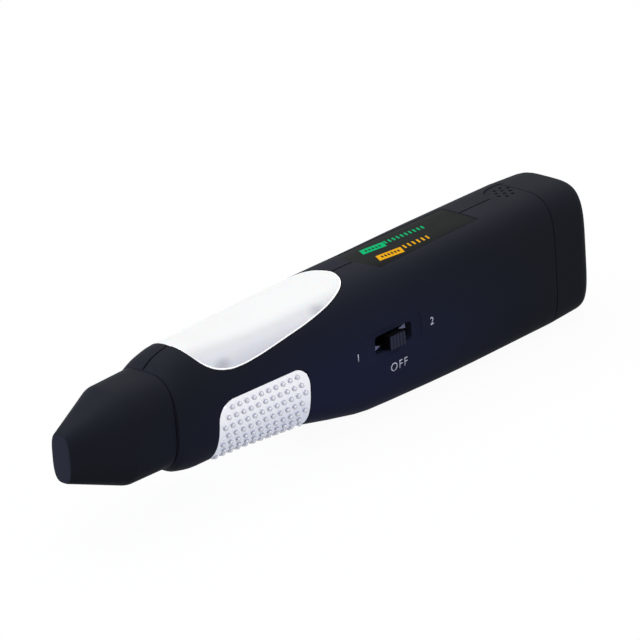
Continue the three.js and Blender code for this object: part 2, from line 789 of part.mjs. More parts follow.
// Insulating sleeve between the cone and the pin
function probeSleeve() {
  const outer = rod(pinRadius + slideFit + sleeveWall, sleeveAt, flangeRearAt);
  const bore = rod(pinRadius + slideFit, sleeveAt - overrun, flangeRearAt + overrun);
  return turnedAlong(outer, noseAxisHeight).subtract(turnedAlong(bore, noseAxisHeight));
}

// Copper pin with its point and the shoulder that keeps it in
function probePin() {
  const end = heaterAt - mountGap;
  const profile = [[0, pinTipAt], [pinPointRadius, pinTipAt], [pinRadius, pinTipAt + pinPointLength],
    [pinRadius, pinShoulderAt], [pinShoulderRadius, pinShoulderAt], [pinShoulderRadius, end], [0, end]];
  return turnedAlong(profile, noseAxisHeight);
}

// Heating element behind the pin
function heatingElement() {
  const groove = heaterRadius - mountGap;
  const [a, b] = [heaterAt + heaterLength / 3, heaterAt + (2 * heaterLength) / 3];
  const profile = [[0, heaterAt], [heaterRadius, heaterAt], [heaterRadius, a], [groove, a], [groove, b],
    [heaterRadius, b], [heaterRadius, heaterAt + heaterLength], [0, heaterAt + heaterLength]];
  return turnedAlong(profile, noseAxisHeight);
}

// Helix of the probe's spring, with its ends drawn closer
class SpringPath extends THREE.Curve {
  getPoint(t, target = new THREE.Vector3()) {
    const angle = t * springTurns * 2 * Math.PI;
    const reach = springRearAt - springFrontAt - 2 * springWire;
    const even = t - (springFlat * Math.sin(2 * Math.PI * t)) / (2 * Math.PI);
    return target.set(springFrontAt + springWire + reach * even, springRadius * Math.cos(angle),
      noseAxisHeight + springRadius * Math.sin(angle));
  }
}

function probeSpring() {
  return tubeOnPath(new SpringPath(), springWire / 2, springTurns * springSteps, springSides);
}

// Plug that closes the spring tube, with a hole for the probe's lead
function springPlug() {
  const inside = springTubeBore - slideFit;
  const rimAt = springTubeRearAt + mountGap;
  const profile = [[0, plugAt], [inside, plugAt], [inside, rimAt], [springTubeRadius, rimAt],
    [springTubeRadius, plugRearAt], [0, plugRearAt]];
  const hole = rod(plugHoleRadius, plugAt - overrun, plugRearAt + overrun);
  return turnedAlong(profile, noseAxisHeight).subtract(turnedAlong(hole, noseAxisHeight, smallSides));
}

// Profile of a small lamp with a domed end and a rim at its base, between two places
function lampProfile(radius, rimRadius, rimLength, base, tip) {
  const dome = Math.sign(tip - base);
  const arc = Array.from({ length: cornerSteps + 1 }, (_, i) => {
    const angle = (i / cornerSteps) * (Math.PI / 2);
    return [radius * Math.cos(angle), tip - dome * radius * (1 - Math.sin(angle))];
  });
  arc[cornerSteps][0] = 0;
  const rimEnd = base + dome * rimLength;
  return [[0, base], [rimRadius, base], [rimRadius, rimEnd], [radius, rimEnd], ...arc];
}

// Ultraviolet lamp beside the probe
function ultravioletLamp() {
  const tip = neckFrontAt - lampReach;
  const profile = lampProfile(lampRadius, lampRimRadius, lampRimLength, tip + lampLength, tip);
  return turnedAlong(profile, lampHeight, smallSides);
}

// Indicator lamp on the board's top edge
function indicator(x) {
  const base = boardTop + mountGap;
  const profile = lampProfile(ledRadius, ledRimRadius, ledRimHeight, base, base + ledHeight);
  return turnedUp(profile, x, -boardMiddle());
}

// Main board with its arm over the spring tube
function mainBoard() {
  const shape = outline([[boardFrontAt, boardBottom], [boardRearAt, boardBottom], [boardRearAt, boardTop],
    [boardArmAt, boardTop], [boardArmAt, boardArmBottom], [boardFrontAt, boardArmBottom]]);
  return sidePrism(shape, -boardNearFace, -boardFarFace);
}

// Body of the slide switch, with a groove that its knob's stem runs in
function switchBody() {
  const front = switchFaceAt();
  const half = switchBodyLength / 2;
  const body = box([switchAt - half, -front, switchHeight - switchBodyHeight / 2],
    [switchAt + half, -boardNearFace - mountGap, switchHeight + switchBodyHeight / 2]);
  const run = knobStemLength / 2 + knobTravel + switchFit;
  const groove = box([switchAt - run, -front - overrun, switchHeight - knobStemHeight / 2 - switchFit],
    [switchAt + run, -front + knobStemDepth + switchFit, switchHeight + knobStemHeight / 2 + switchFit]);
  return body.subtract(groove);
}

// Distance from the middle plane to the switch body's face, behind the casing's wall
function switchFaceAt() {
  return sideSurfaceAt(switchAt, switchHeight) - wall - switchFit;
}

// Knob with upright ribs, and the stem behind it
function switchKnob() {
  const face = sideSurfaceAt(switchAt, switchHeight) + knobReach;
  const base = switchFaceAt() + switchFit;
  const [x0, x1] = [switchAt - knobLength / 2, switchAt + knobLength / 2];
  const [z0, z1] = [switchHeight - knobHeight / 2, switchHeight + knobHeight / 2];
  const pitch = knobLength / knobRibs;
  const block = box([x0, -face, z0], [x1, -base, z1]);
  const grooves = Array.from({ length: knobRibs - 1 }, (_, i) => {
    const at = x0 + pitch * (i + 1);
    return box([at - knobGrooveWidth / 2, -face - overrun, z0 - overrun],
      [at + knobGrooveWidth / 2, -face + knobRibDepth, z1 + overrun]);
  });
  const stem = box([switchAt - knobStemLength / 2, -base - wall, switchHeight - knobStemHeight / 2],
    [switchAt + knobStemLength / 2, -base + switchFit + knobStemDepth, switchHeight + knobStemHeight / 2]);
  return grooves.reduce((knob, groove) => knob.subtract(groove), block).add(stem);
}

// Control chip on the board's far face, with a row of legs along each long side
function controlChip() {
  const face = boardFarFace - mountGap;
  const chipTop = chipBottom + chipHeight;
  const body = box([chipAt, -face, chipBottom], [chipAt + chipLength, -face + chipThickness, chipTop]);
  const pitch = chipLength / chipPins;
  const legs = Array.from({ length: chipPins }, (_, i) => {
    const at = chipAt + pitch * (i + 0.5);
    return box([at - chipPinWidth / 2, -face, chipBottom - chipPinLength],
      [at + chipPinWidth / 2, -face + chipPinThickness, chipTop + chipPinLength]);
  });
  return joined([body, ...legs]);
}

// Capacitor standing on the board's far face
function capacitor() {
  const base = -boardFarFace + mountGap;
  const groove = base + capacitorGrooveAt;
  const profile = [[0, base], [capacitorRadius, base], [capacitorRadius, groove - capacitorGroove],
    [capacitorRadius - capacitorGroove, groove], [capacitorRadius, groove + capacitorGroove],
    [capacitorRadius, base + capacitorLength], [0, base + capacitorLength]];
  return turnedAcross(profile, capacitorAt, capacitorHeight);
}

// Adjuster for the heater's current, with a slotted screw
function trimmer() {
  const base = -boardFarFace + mountGap;
  const face = base + trimmerThickness;
  const [x, z] = [trimmerAt + trimmerSize / 2, trimmerBottom + trimmerSize / 2];
  const [end, top] = [trimmerAt + trimmerSize, trimmerBottom + trimmerSize];
  const body = box([trimmerAt, base, trimmerBottom], [end, face, top]);
  const screw = turnedAcross(rod(trimmerScrewRadius, face - trimmerSlot, face + trimmerSlot), x, z);
  const slot = box([x - trimmerScrewRadius, face, z - trimmerSlot / 2],
    [x + trimmerScrewRadius, face + overrun, z + trimmerSlot / 2]);
  return body.add(screw).subtract(slot);
}

// Spring pin that joins the touch plate to the board
function plateContact() {
  const low = undersideAt(contactAt, boardMiddle()) + plateThickness + contactFit;
  const high = boardBottom - mountGap;
  const profile = [[0, low], [contactRadius, low], [contactRadius, high - contactHeadHeight],
    [contactHeadRadius, high - contactHeadHeight], [contactHeadRadius, high], [0, high]];
  return turnedUp(profile, contactAt, -boardMiddle());
}

// Height of the casing's underside at a place along and across
function undersideAt(x, y) {
  const section = casingSection(x, 0);
  const centre = (section.top + section.bottom) / 2;
  const power = section.squareBottom;
  return centre - (centre - section.bottom) * (1 - (y / section.halfWidth) ** power) ** (1 / power);
}

// Case screw with a crossed slot
function caseScrew([x, z]) {
  const end = screwHeadAt - screwLength;
  const head = screwHeadAt + screwHeadHeight;
  const profile = [[0, end], [screwRadius / 2, end], [screwRadius, end + screwTipLength],
    [screwRadius, screwHeadAt], [screwHeadRadius, screwHeadAt], [screwHeadRadius, head - screwCrownHeight],
    [screwCrownRadius, head], [0, head]];
  const [slotAt, half] = [head - screwSlotDepth, screwSlotWidth / 2];
  const upright = box([x - half, slotAt, z - screwSlotReach], [x + half, head + overrun, z + screwSlotReach]);
  const level = box([x - screwSlotReach, slotAt, z - half], [x + screwSlotReach, head + overrun, z + half]);
  return turnedAcross(profile, x, z).subtract(upright).subtract(level);
}

// Battery, with its two terminals at different heights
const batteryMiddle = batteryBottom() + batteryHeight / 2;

function battery() {
  const body = batteryBay(batteryFrontAt, batteryRearAt, 0);
  const [tip, root, rim] = [batteryFrontAt - terminalLength, batteryFrontAt + mountGap,
    batteryFrontAt - terminalRimLength];
  const smallTerminal = rod(terminalRadius, tip, root);
  const largeTerminal = [[0, tip], [terminalRadius, tip], [terminalRadius, rim], [terminalRimRadius, rim],
    [terminalRimRadius, root], [0, root]];
  return body.add(turnedAlong(smallTerminal, batteryMiddle + terminalPitch / 2))
    .add(turnedAlong(largeTerminal, batteryMiddle - terminalPitch / 2));
}

// Snap that grips both terminals
function batterySnap() {
  const half = snapWidth / 2;
  const [low, high] = [batteryBottom() + snapInset, batteryBottom() + batteryHeight - snapInset];
  const shape = roundedOutline(-half, half, low, high, snapCorner);
  const plate = endPrism(shape, snapRearAt - snapThickness, snapRearAt);
  const bore = terminalRadius + snapCollarFit;
  const collar = rod(bore + snapCollarWall, snapRearAt - mountGap, batteryFrontAt - 2 * terminalRimLength);
  const collars = [-1, 1].map((side) => {
    const height = batteryMiddle + (side * terminalPitch) / 2;
    return turnedAlong(collar, height).subtract(turnedAlong(rod(bore, snapRearAt, batteryFrontAt), height));
  });
  return joined([plate, ...collars]);
}

// Lead from the snap to the board's rear corner
function batteryLead(side) {
  const height = batteryMiddle + side * leadSpread;
  const start = snapRearAt - snapThickness - mountGap;
  const y = -boardFarFace + leadRadius + mountGap;
  const rise = (side * leadRise) / 2;
  const points = [[start, 0, height], [start - leadRadius, 0, height],
    [boardRearAt, y / 2, height + rise / 2], [boardRearAt - leadRise / 2, y, height + rise],
    [boardRearAt - leadRise, y, height + rise]];
  return leadThrough(points, leadRadius);
}

// Lead from the probe's plug to the board's front edge
function probeLead() {
  const start = plugRearAt + probeLeadGap;
  const y = -boardFarFace + probeLeadRadius + mountGap;
  const run = boardFrontAt + leadRise - start;
  const points = probeLeadShares.map(([along, across]) => [start + run * along, y * across, noseAxisHeight]);
  return leadThrough(points, probeLeadRadius);
}

// Buzzer: a brass disc with a smaller ceramic one
function buzzer() {
  const high = casingSection(grilleAt, wall).top - buzzerFit;
  const low = high - buzzerThickness;
  const profile = [[0, low - buzzerCeramicThickness], [buzzerCeramicRadius, low - buzzerCeramicThickness],
    [buzzerCeramicRadius, low], [buzzerRadius, low], [buzzerRadius, high], [0, high]];
  return turnedUp(profile, grilleAt, 0, roundSides);
}

// Finishes as colour, roughness and metalness
const softBlack = [0x20222b, 0.7, 0];
const milkWhite = [0xf2f2f4, 0.35, 0];
const satinSilver = [0xc9ccd2, 0.32, 0.9];
const labelGrey = [0x2a2d2c, 0.5, 0];
const glossBlack = [0x14151a, 0.35, 0];
const ceramicWhite = [0xe6e2d8, 0.5, 0];
const copper = [0xb87352, 0.3, 1];
const brass = [0xc2a14e, 0.3, 1];
const springSteel = [0x9fa2a8, 0.3, 1];
const boardGreen = [0x1f5b3a, 0.5, 0];
const clearAmber = [0xe8a030, 0.2, 0];
const clearGreen = [0x35b26a, 0.2, 0];
const clearViolet = [0xb8a8dc, 0.2, 0];
const batteryGrey = [0x5a5e66, 0.4, 0.6];
const leadRed = [0xb02a22, 0.5, 0];
const leadBlack = [0x17181a, 0.5, 0];
const trimmerBlue = [0x2a5fa8, 0.5, 0];

const { near, far, cover } = casingPieces();
const windowSolid = casingSkin(0, windowThickness).intersect(windowCutter(0));
const plateSolid = casingSkin(0, plateThickness).intersect(plateCutter(0));
const labelFloor = labelRecess - mountGap;
const labelSolid = casingSkin(labelFloor - labelThickness, labelFloor).intersect(labelCutter(0));
const pieces = [
  piece("near_shell", near, softBlack),
  piece("far_shell", far, softBlack),
  piece("battery_cover", cover, softBlack),
  piece("nose_cap", capSolid(), softBlack),
  piece("light_window", windowSolid, milkWhite),
  piece("touch_plate", plateSolid, satinSilver),
  piece("label_plate", labelSolid, labelGrey),
  piece("nose_cone", noseCone(), glossBlack),
  piece("probe_sleeve", probeSleeve(), ceramicWhite),
  piece("probe_pin", probePin(), copper),
  piece("heating_element", heatingElement(), ceramicWhite),
  piece("probe_spring", probeSpring(), springSteel),
  piece("spring_plug", springPlug(), glossBlack),
  piece("probe_lead", probeLead(), leadRed),
  piece("ultraviolet_lamp", ultravioletLamp(), clearViolet),
  piece("main_board", mainBoard(), boardGreen),
  piece("switch_body", switchBody(), springSteel),
  piece("switch_knob", switchKnob(), softBlack),
  piece("amber_led", indicator(amberLedAt), clearAmber),
  piece("green_led", indicator(greenLedAt), clearGreen),
  piece("control_chip", controlChip(), glossBlack),
  piece("capacitor", capacitor(), glossBlack),
  piece("trimmer", trimmer(), trimmerBlue),
  piece("plate_contact", plateContact(), brass),
  piece("buzzer_disc", buzzer(), brass),
  piece("battery", battery(), batteryGrey),
  piece("battery_snap", batterySnap(), glossBlack),
  piece("red_lead", batteryLead(1), leadRed),
  piece("black_lead", batteryLead(-1), leadBlack),
  ...Object.entries(screwPlaces).map(([name, place]) => piece(name, caseScrew(place), springSteel)),
];

// The frame's origin is under the middle of the whole tester, the switch knob counted
const knobProud = sideSurfaceAt(switchAt, switchHeight) + knobReach - casingWidth / 2;
const tester = new THREE.Group();
tester.name = "diamond_tester";
tester.position.set(-overallLength / 2, knobProud / 2, 0);
tester.add(...pieces);

export default tester;
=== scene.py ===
# %% [markdown]
# # A pen-shaped diamond tester
# The tester lies on its flat underside with its capped nose in the air. Its hard parts come from
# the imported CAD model, which fixes every place and size. This lesson builds the fine surfaces over
# that model, gives every part a finish and sets up a plain studio. All lengths are metres. +X runs
# from the nose to the tail, -Y is the side with the switch, and +Z is up.

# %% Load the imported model
import bisect
import contextlib
import functools
import math

import bmesh
import bpy
from mathutils import Matrix, Vector


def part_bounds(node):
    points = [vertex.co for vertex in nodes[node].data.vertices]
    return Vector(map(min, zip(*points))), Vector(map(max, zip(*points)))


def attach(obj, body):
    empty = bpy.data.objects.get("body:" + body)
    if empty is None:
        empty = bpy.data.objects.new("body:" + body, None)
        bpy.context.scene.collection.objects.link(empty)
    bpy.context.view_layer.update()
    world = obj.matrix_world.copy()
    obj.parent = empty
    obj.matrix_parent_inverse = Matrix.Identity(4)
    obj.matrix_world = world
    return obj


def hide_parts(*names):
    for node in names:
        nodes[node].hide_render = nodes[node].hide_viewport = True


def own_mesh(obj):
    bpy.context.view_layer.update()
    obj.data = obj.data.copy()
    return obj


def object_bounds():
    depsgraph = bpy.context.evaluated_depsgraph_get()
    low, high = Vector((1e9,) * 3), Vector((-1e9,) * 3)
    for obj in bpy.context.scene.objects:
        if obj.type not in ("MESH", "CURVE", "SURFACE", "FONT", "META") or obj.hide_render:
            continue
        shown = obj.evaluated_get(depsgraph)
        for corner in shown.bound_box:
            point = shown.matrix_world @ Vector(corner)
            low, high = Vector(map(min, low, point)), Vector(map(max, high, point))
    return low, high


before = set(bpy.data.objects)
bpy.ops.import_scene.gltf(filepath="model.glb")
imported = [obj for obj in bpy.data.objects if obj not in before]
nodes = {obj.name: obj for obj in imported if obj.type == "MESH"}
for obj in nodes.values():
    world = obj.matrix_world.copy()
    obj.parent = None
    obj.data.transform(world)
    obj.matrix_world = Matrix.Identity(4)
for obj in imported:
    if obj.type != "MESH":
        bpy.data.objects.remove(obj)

MM = 0.001
cad_low, cad_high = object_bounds()
print("nodes", len(nodes), "size in mm", [round(v / MM, 1) for v in cad_high - cad_low])

# %% [markdown]
# ## The form of the casing
# The real casing is two moulded halves and a tail cover that share one flowing form. It could be
# sculpted as a subdivision cage, but then the seams between its pieces would never quite meet.
# So it is described once, as a row of rounded cross-sections, and every piece of the outside is
# taken from that description. A section is a superellipse: power 2 gives an ellipse, and higher
# powers come closer to a rectangle.

# %% Measure the casing from the frame
seam_gap = 0.3 * MM
middle_y = (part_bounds("near_shell")[1].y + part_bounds("far_shell")[0].y) / 2
casing_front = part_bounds("nose_cap")[1].x + seam_gap / 2
casing_length = cad_high.x - casing_front
casing_half_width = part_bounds("far_shell")[1].y - middle_y
casing_height = cad_high.z
cover_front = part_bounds("near_shell")[1].x + seam_gap / 2
flat_cut = 0.2 * MM
nose_height = (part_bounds("probe_pin")[0].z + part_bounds("probe_pin")[1].z) / 2
print("casing length in mm", round(casing_length / MM, 1))

# %% Shares that draw the casing
place_shares = [0, 0.02, 0.062, 0.144, 0.257, 0.369, 0.452, 0.53, 0.722, 0.904, 1]
width_shares = [0.795, 0.805, 0.828, 0.87, 0.928, 0.979, 1, 0.997, 0.98, 0.974, 0.974]
top_shares = [0.92, 0.967, 1, 0.985, 0.975, 0.98, 0.983, 0.979, 0.973, 0.968, 0.942]
bottom_shares = [0.252, 0.196, 0.167, 0.173, 0.153, 0.066, 0.008, 0, 0, 0, 0.024]
square_place_shares = [0, 0.062, 0.257, 0.452, 0.722, 1]
square_tops = [2.6, 2.6, 3.4, 3.4, 4, 4]
square_bottoms = [2.6, 2.6, 3.4, 3.4, 4.6, 4.6]


def smooth(places, values, x):
    """Value at x of a line through the given values that never swings past them."""
    x = min(max(x, places[0]), places[-1])
    last = len(places) - 1
    i = next(k for k in range(last) if x <= places[k + 1])
    slopes = [(values[k + 1] - values[k]) / (places[k + 1] - places[k]) for k in range(last)]

    def tangent(k):
        if k in (0, last):
            return slopes[min(k, last - 1)]
        before, after = slopes[k - 1], slopes[k]
        return 0 if before * after <= 0 else 2 * before * after / (before + after)

    span = places[i + 1] - places[i]
    t = (x - places[i]) / span
    over = 3 * t ** 2 - 2 * t ** 3
    bend = (t ** 3 - 2 * t ** 2 + t) * tangent(i) + (t ** 3 - t ** 2) * tangent(i + 1)
    return (1 - over) * values[i] + over * values[i + 1] + bend * span


def casing_section(x, inset=0.0):
    """Half width, top, underside and both powers of the casing's section at x, less an inset."""
    share = (x - casing_front) / casing_length
    return (smooth(place_shares, width_shares, share) * casing_half_width - inset,
            smooth(place_shares, top_shares, share) * casing_height - inset,
            smooth(place_shares, bottom_shares, share) * casing_height - flat_cut + inset,
            smooth(square_place_shares, square_tops, share),
            smooth(square_place_shares, square_bottoms, share))


print("widest section in mm", round(2 * casing_section(0)[0] / MM, 2))

# %% [markdown]
# Points on a section are asked for in three ways: at a turn round it, as the sections are drawn, at
# a height on its side, where the marks are printed, and at a place across its top.

# %% Points on a section
def on_section(section, turn):
    """Point across and up on a section, at a turn counted from its top towards the far side."""
    half_width, top, bottom, square_top, square_bottom = section
    middle, half = (top + bottom) / 2, (top - bottom) / 2
    across, up = math.sin(turn), math.cos(turn)
    power = 2 / (square_top if up >= 0 else square_bottom)
    y = middle_y + half_width * math.copysign(abs(across) ** power, across)
    return y, middle + half * math.copysign(abs(up) ** power, up)


def side_distance(x, z):
    """Distance from the parting plane to the casing's side at a place and height."""
    half_width, top, bottom, square_top, square_bottom = casing_section(x)
    middle = (top + bottom) / 2
    power = square_top if z >= middle else square_bottom
    up = min(abs(z - middle) / ((top - bottom) / 2), 1)
    return half_width * (1 - up ** power) ** (1 / power)


def top_height(x, y, inset=0.0):
    """Height of the casing's top at a place along and across."""
    half_width, top, bottom, square_top, _ = casing_section(x, inset)
    middle = (top + bottom) / 2
    across = min(abs(y - middle_y) / half_width, 1)
    return middle + (top - middle) * (1 - across ** square_top) ** (1 / square_top)


print("top at the middle in mm", round(top_height(0, middle_y) / MM, 2))

# %% [markdown]
# ## Making a mesh
# Every new piece starts from a few vertices or one of Blender's simple shapes. A turned piece is a
# profile that the spin operator carries round an axis. A tube of sections starts as such a plain
# round tube, and each of its rings is then swelled to its section.

# %% Helpers that make a mesh
ring_steps = 128
tool_steps = 96
merge_distance = 0.001 * MM
length_axis, width_axis, height_axis = Vector((1, 0, 0)), Vector((0, 1, 0)), Vector((0, 0, 1))


def spread(from_value, to_value, count):
    """Evenly spread values, both ends counted."""
    return [from_value + (to_value - from_value) * i / (count - 1) for i in range(count)]


def to_object(name, bm):
    """New object at the origin that holds the mesh, with its faces turned outwards."""
    bmesh.ops.recalc_face_normals(bm, faces=bm.faces[:])
    mesh = bpy.data.meshes.new(name)
    bm.to_mesh(mesh)
    bm.free()
    piece = bpy.data.objects.new(name, mesh)
    bpy.context.scene.collection.objects.link(piece)
    return piece


def turned(points, centre, axis, steps):
    """Mesh that a row of points sweeps as it goes once round an axis."""
    bm = bmesh.new()
    verts = [bm.verts.new(point) for point in points]
    edges = [bm.edges.new(pair) for pair in zip(verts, verts[1:])]
    bmesh.ops.spin(bm, geom=verts + edges, cent=centre, axis=axis, angle=2 * math.pi,
                   steps=steps, use_merge=True)
    bmesh.ops.remove_doubles(bm, verts=bm.verts[:], dist=merge_distance)
    return bm


def spun(name, profile, axis, centre, steps):
    """Turned piece from [distance along, radius] points, about an axis through centre."""
    side = height_axis if abs(axis.z) < 0.5 else length_axis
    points = [centre + axis * along + side * radius for along, radius in profile]
    return to_object(name, turned(points, centre, axis, steps))


def drill(start, end, radius, axis, centre, steps):
    """Plain round bar that bores a hole."""
    profile = [(start, 0), (start, radius), (end, radius), (end, 0)]
    return spun("drill", profile, axis, centre, steps)


def tube_of_sections(name, places, section_at, steps=ring_steps):
    """Closed tube whose ring at each place is swelled to the section there."""
    points = [(places[0], 0, 0), *[(x, 0, 1) for x in places], (places[-1], 0, 0)]
    bm = turned(points, (0, 0, 0), length_axis, steps)
    for vert in bm.verts:
        x, y, z = vert.co
        section = section_at(x)
        if math.hypot(y, z) < 0.5:
            vert.co = Vector((x, middle_y, (section[1] + section[2]) / 2))
        else:
            vert.co = Vector((x, *on_section(section, math.atan2(y, z))))
    return to_object(name, bm)


print("rings have", ring_steps, "steps")

# %% [markdown]
# A box has the edges along one axis rounded where a piece needs it. A flat shape gets its thickness
# by an extrusion, and the corners of the new side are handed back, so that each side can be laid on
# a surface of its own.

# %% Boxes and slabs
def rounded(bm, edges, size, segments):
    """Rounds off some edges of a mesh."""
    bmesh.ops.bevel(bm, geom=edges, offset=size, segments=segments, profile=0.5, affect="EDGES",
                    material=-1)


def block(name, low, high, corner=0.0, axis=None, segments=6):
    """Box between two corners, whose edges along one axis may be rounded."""
    low, high = Vector(low), Vector(high)
    bm = bmesh.new()
    bmesh.ops.create_cube(bm, size=1)
    bmesh.ops.scale(bm, vec=high - low, verts=bm.verts[:])
    bmesh.ops.translate(bm, vec=(low + high) / 2, verts=bm.verts[:])
    if corner:
        ends = [(edge, edge.verts[0].co - edge.verts[1].co) for edge in bm.edges]
        rounded(bm, [e for e, line in ends if abs(line.normalized()[axis]) > 0.9], corner, segments)
    return to_object(name, bm)


def thickened(bm):
    """Makes a flat mesh a closed slab and gives the corners of its new side."""
    made = bmesh.ops.extrude_face_region(bm, geom=bm.faces[:], use_keep_orig=True)
    return {g for g in made["geom"] if isinstance(g, bmesh.types.BMVert)}


@contextlib.contextmanager
def reopened(piece):
    """Mesh of a piece, opened for more work and written back after it."""
    bm = bmesh.new()
    bm.from_mesh(piece.data)
    yield bm
    bm.to_mesh(piece.data)
    bm.free()


print("boxes and slabs can be made")

# %% [markdown]
# Openings are cut with the Boolean modifier, which is applied at once, as one would cut real
# plastic with a mill. The tool is thrown away afterwards.

# %% Cut, join and copy
def modified(piece, kind, **settings):
    """Piece with a modifier made part of its mesh."""
    modifier = piece.modifiers.new("tool", kind)
    for setting, value in settings.items():
        setattr(modifier, setting, value)
    bpy.context.view_layer.update()
    shape = piece.evaluated_get(bpy.context.evaluated_depsgraph_get())
    mesh = bpy.data.meshes.new_from_object(shape)
    piece.modifiers.clear()
    old, piece.data = piece.data, mesh
    bpy.data.meshes.remove(old)
    return piece


def combine(piece, tool, operation="DIFFERENCE", keep=False):
    """Cuts, joins or crosses a piece with a tool."""
    modified(piece, "BOOLEAN", operation=operation, object=tool, solver="MANIFOLD")
    if not keep:
        bpy.data.objects.remove(tool)
    return piece


def copy_of(piece, name):
    """Copy with a mesh of its own."""
    twin = bpy.data.objects.new(name, piece.data.copy())
    bpy.context.scene.collection.objects.link(twin)
    return twin


print("pieces can be cut")

# %% [markdown]
# ## Shading that follows the true form
# Cutting leaves long thin faces beside each opening, and averaged normals would show them as
# smears in the reflections. The casing's form is a formula, though, so its true normal is known at
# any point. Every corner that lies on the form gets that normal, and the rest keep their own.

# %% Helpers for shading
normal_step = 0.02 * MM
on_form = 0.004


def form_level(x, y, z, inset):
    """1 on the casing's form, less inside it and more outside."""
    half_width, top, bottom, square_top, square_bottom = casing_section(x, inset)
    middle, half = (top + bottom) / 2, (top - bottom) / 2
    power = square_top if z >= middle else square_bottom
    return (abs(y - middle_y) / half_width) ** power + (abs(z - middle) / half) ** power


def form_normal(point, inset):
    """Outward normal of the casing's form."""
    steps = [axis * normal_step for axis in (length_axis, width_axis, height_axis)]
    return Vector([form_level(*(point + step), inset) - form_level(*(point - step), inset)
                   for step in steps]).normalized()


def shade(piece, sharp_angle=35, inset=None):
    """Smooth shading with sharp edges kept, and true normals where a form's inset is given."""
    mesh = piece.data
    mesh.shade_smooth()
    mesh.set_sharp_from_angle(angle=math.radians(sharp_angle))
    if inset is None:
        return piece
    normals = [Vector(n.vector) for n in mesh.corner_normals]
    known = {}
    for face in mesh.polygons:
        for i in face.loop_indices:
            v = mesh.loops[i].vertex_index
            if v not in known:
                point = mesh.vertices[v].co
                near = casing_front < point.x and abs(form_level(*point, inset) - 1) < on_form
                known[v] = form_normal(point, inset) if near and point.z > flat_cut else None
            if known[v] and known[v].dot(face.normal) > 0.8:
                normals[i] = known[v]
    mesh.normals_split_custom_set(normals)
    return piece


def settle(piece, material, body, *replaced, slot=None):
    """Gives a finished piece its material, its body and the nodes that it stands for."""
    piece.data.materials.clear()
    piece.data.materials.append(material)
    if replaced:
        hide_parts(*replaced)
    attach(piece, body)
    return piece


print("normal on top", [round(v, 2) for v in form_normal(Vector((0, middle_y, casing_height)), 0)])

# %% [markdown]
# ## Finishes
# Each finish is one node material. What the finishes share is a node group, made in two forms: the
# mottle and grain of a moulded surface, and the fine streaks of drawn metal, which are the same
# noise stretched along X. The groups work on Object coordinates, which here are metres from the
# tester's own origin, so grain has its real size on every part.

# %% Node groups that the finishes share
group_sockets = [("INPUT", "Vector", ["Vector"]), ("INPUT", "Color", ["Tone", "Second tone"]),
                 ("INPUT", "Float", ["Mottle scale", "Grain scale"]),
                 ("INPUT", "Float", ["Roughness low", "Roughness high"]),
                 ("OUTPUT", "Color", ["Color"]), ("OUTPUT", "Float", ["Roughness", "Height"])]


def new_node(tree, kind, inputs=None, **settings):
    """New shader node, each of whose inputs takes a value, or a link where a socket is given."""
    node = tree.nodes.new("ShaderNode" + kind)
    for setting, value in settings.items():
        setattr(node, setting, value)
    for label, value in (inputs or {}).items():
        if isinstance(value, bpy.types.NodeSocket):
            tree.links.new(value, node.inputs[label])
        else:
            node.inputs[label].default_value = value
    return node


def surface_group(name, stretch, mottle_detail):
    """Slow change of colour and gloss between two values, and a fine grain in height."""
    group = bpy.data.node_groups.new(name, "ShaderNodeTree")
    for way, kind, labels in group_sockets:
        for label in labels:
            group.interface.new_socket(label, in_out=way, socket_type="NodeSocket" + kind)
    given = group.nodes.new("NodeGroupInput").outputs
    made = group.nodes.new("NodeGroupOutput").inputs
    place = new_node(group, "Mapping", {"Vector": given["Vector"], "Scale": stretch})
    mottle, grain = [
        new_node(group, "TexNoise", {"Vector": place.outputs["Vector"], "Scale": given[scale],
                                     "Detail": detail}).outputs["Fac"]
        for scale, detail in (("Mottle scale", mottle_detail), ("Grain scale", 2))]
    tone = new_node(group, "Mix", data_type="RGBA", inputs={
        "Factor": mottle, "A": given["Tone"], "B": given["Second tone"]})
    gloss = new_node(group, "MapRange", {"Value": mottle, "To Min": given["Roughness low"],
                                         "To Max": given["Roughness high"]})
    group.links.new(tone.outputs["Result"], made["Color"])
    group.links.new(gloss.outputs["Result"], made["Roughness"])
    group.links.new(grain, made["Height"])
    return group


moulded_surface = surface_group("moulded_surface", (1, 1, 1), 3)
drawn_metal = surface_group("drawn_metal", (0.05, 1, 1), 2)
print("groups", [g.name for g in bpy.data.node_groups])

# %% [markdown]
# A finish is a Principled shader fed by one of the groups. The colours that a finish is given are
# linear, as a shader wants them, and two close tones are given so that no surface is one flat
# colour. The grain is a bump of a few microns, which breaks up the reflections and no more.

# %% Make a finish
shader_inputs = {"metallic": "Metallic", "specular": "Specular IOR Level", "coat": "Coat Weight",
                 "transmission": "Transmission Weight", "subsurface": "Subsurface Weight"}


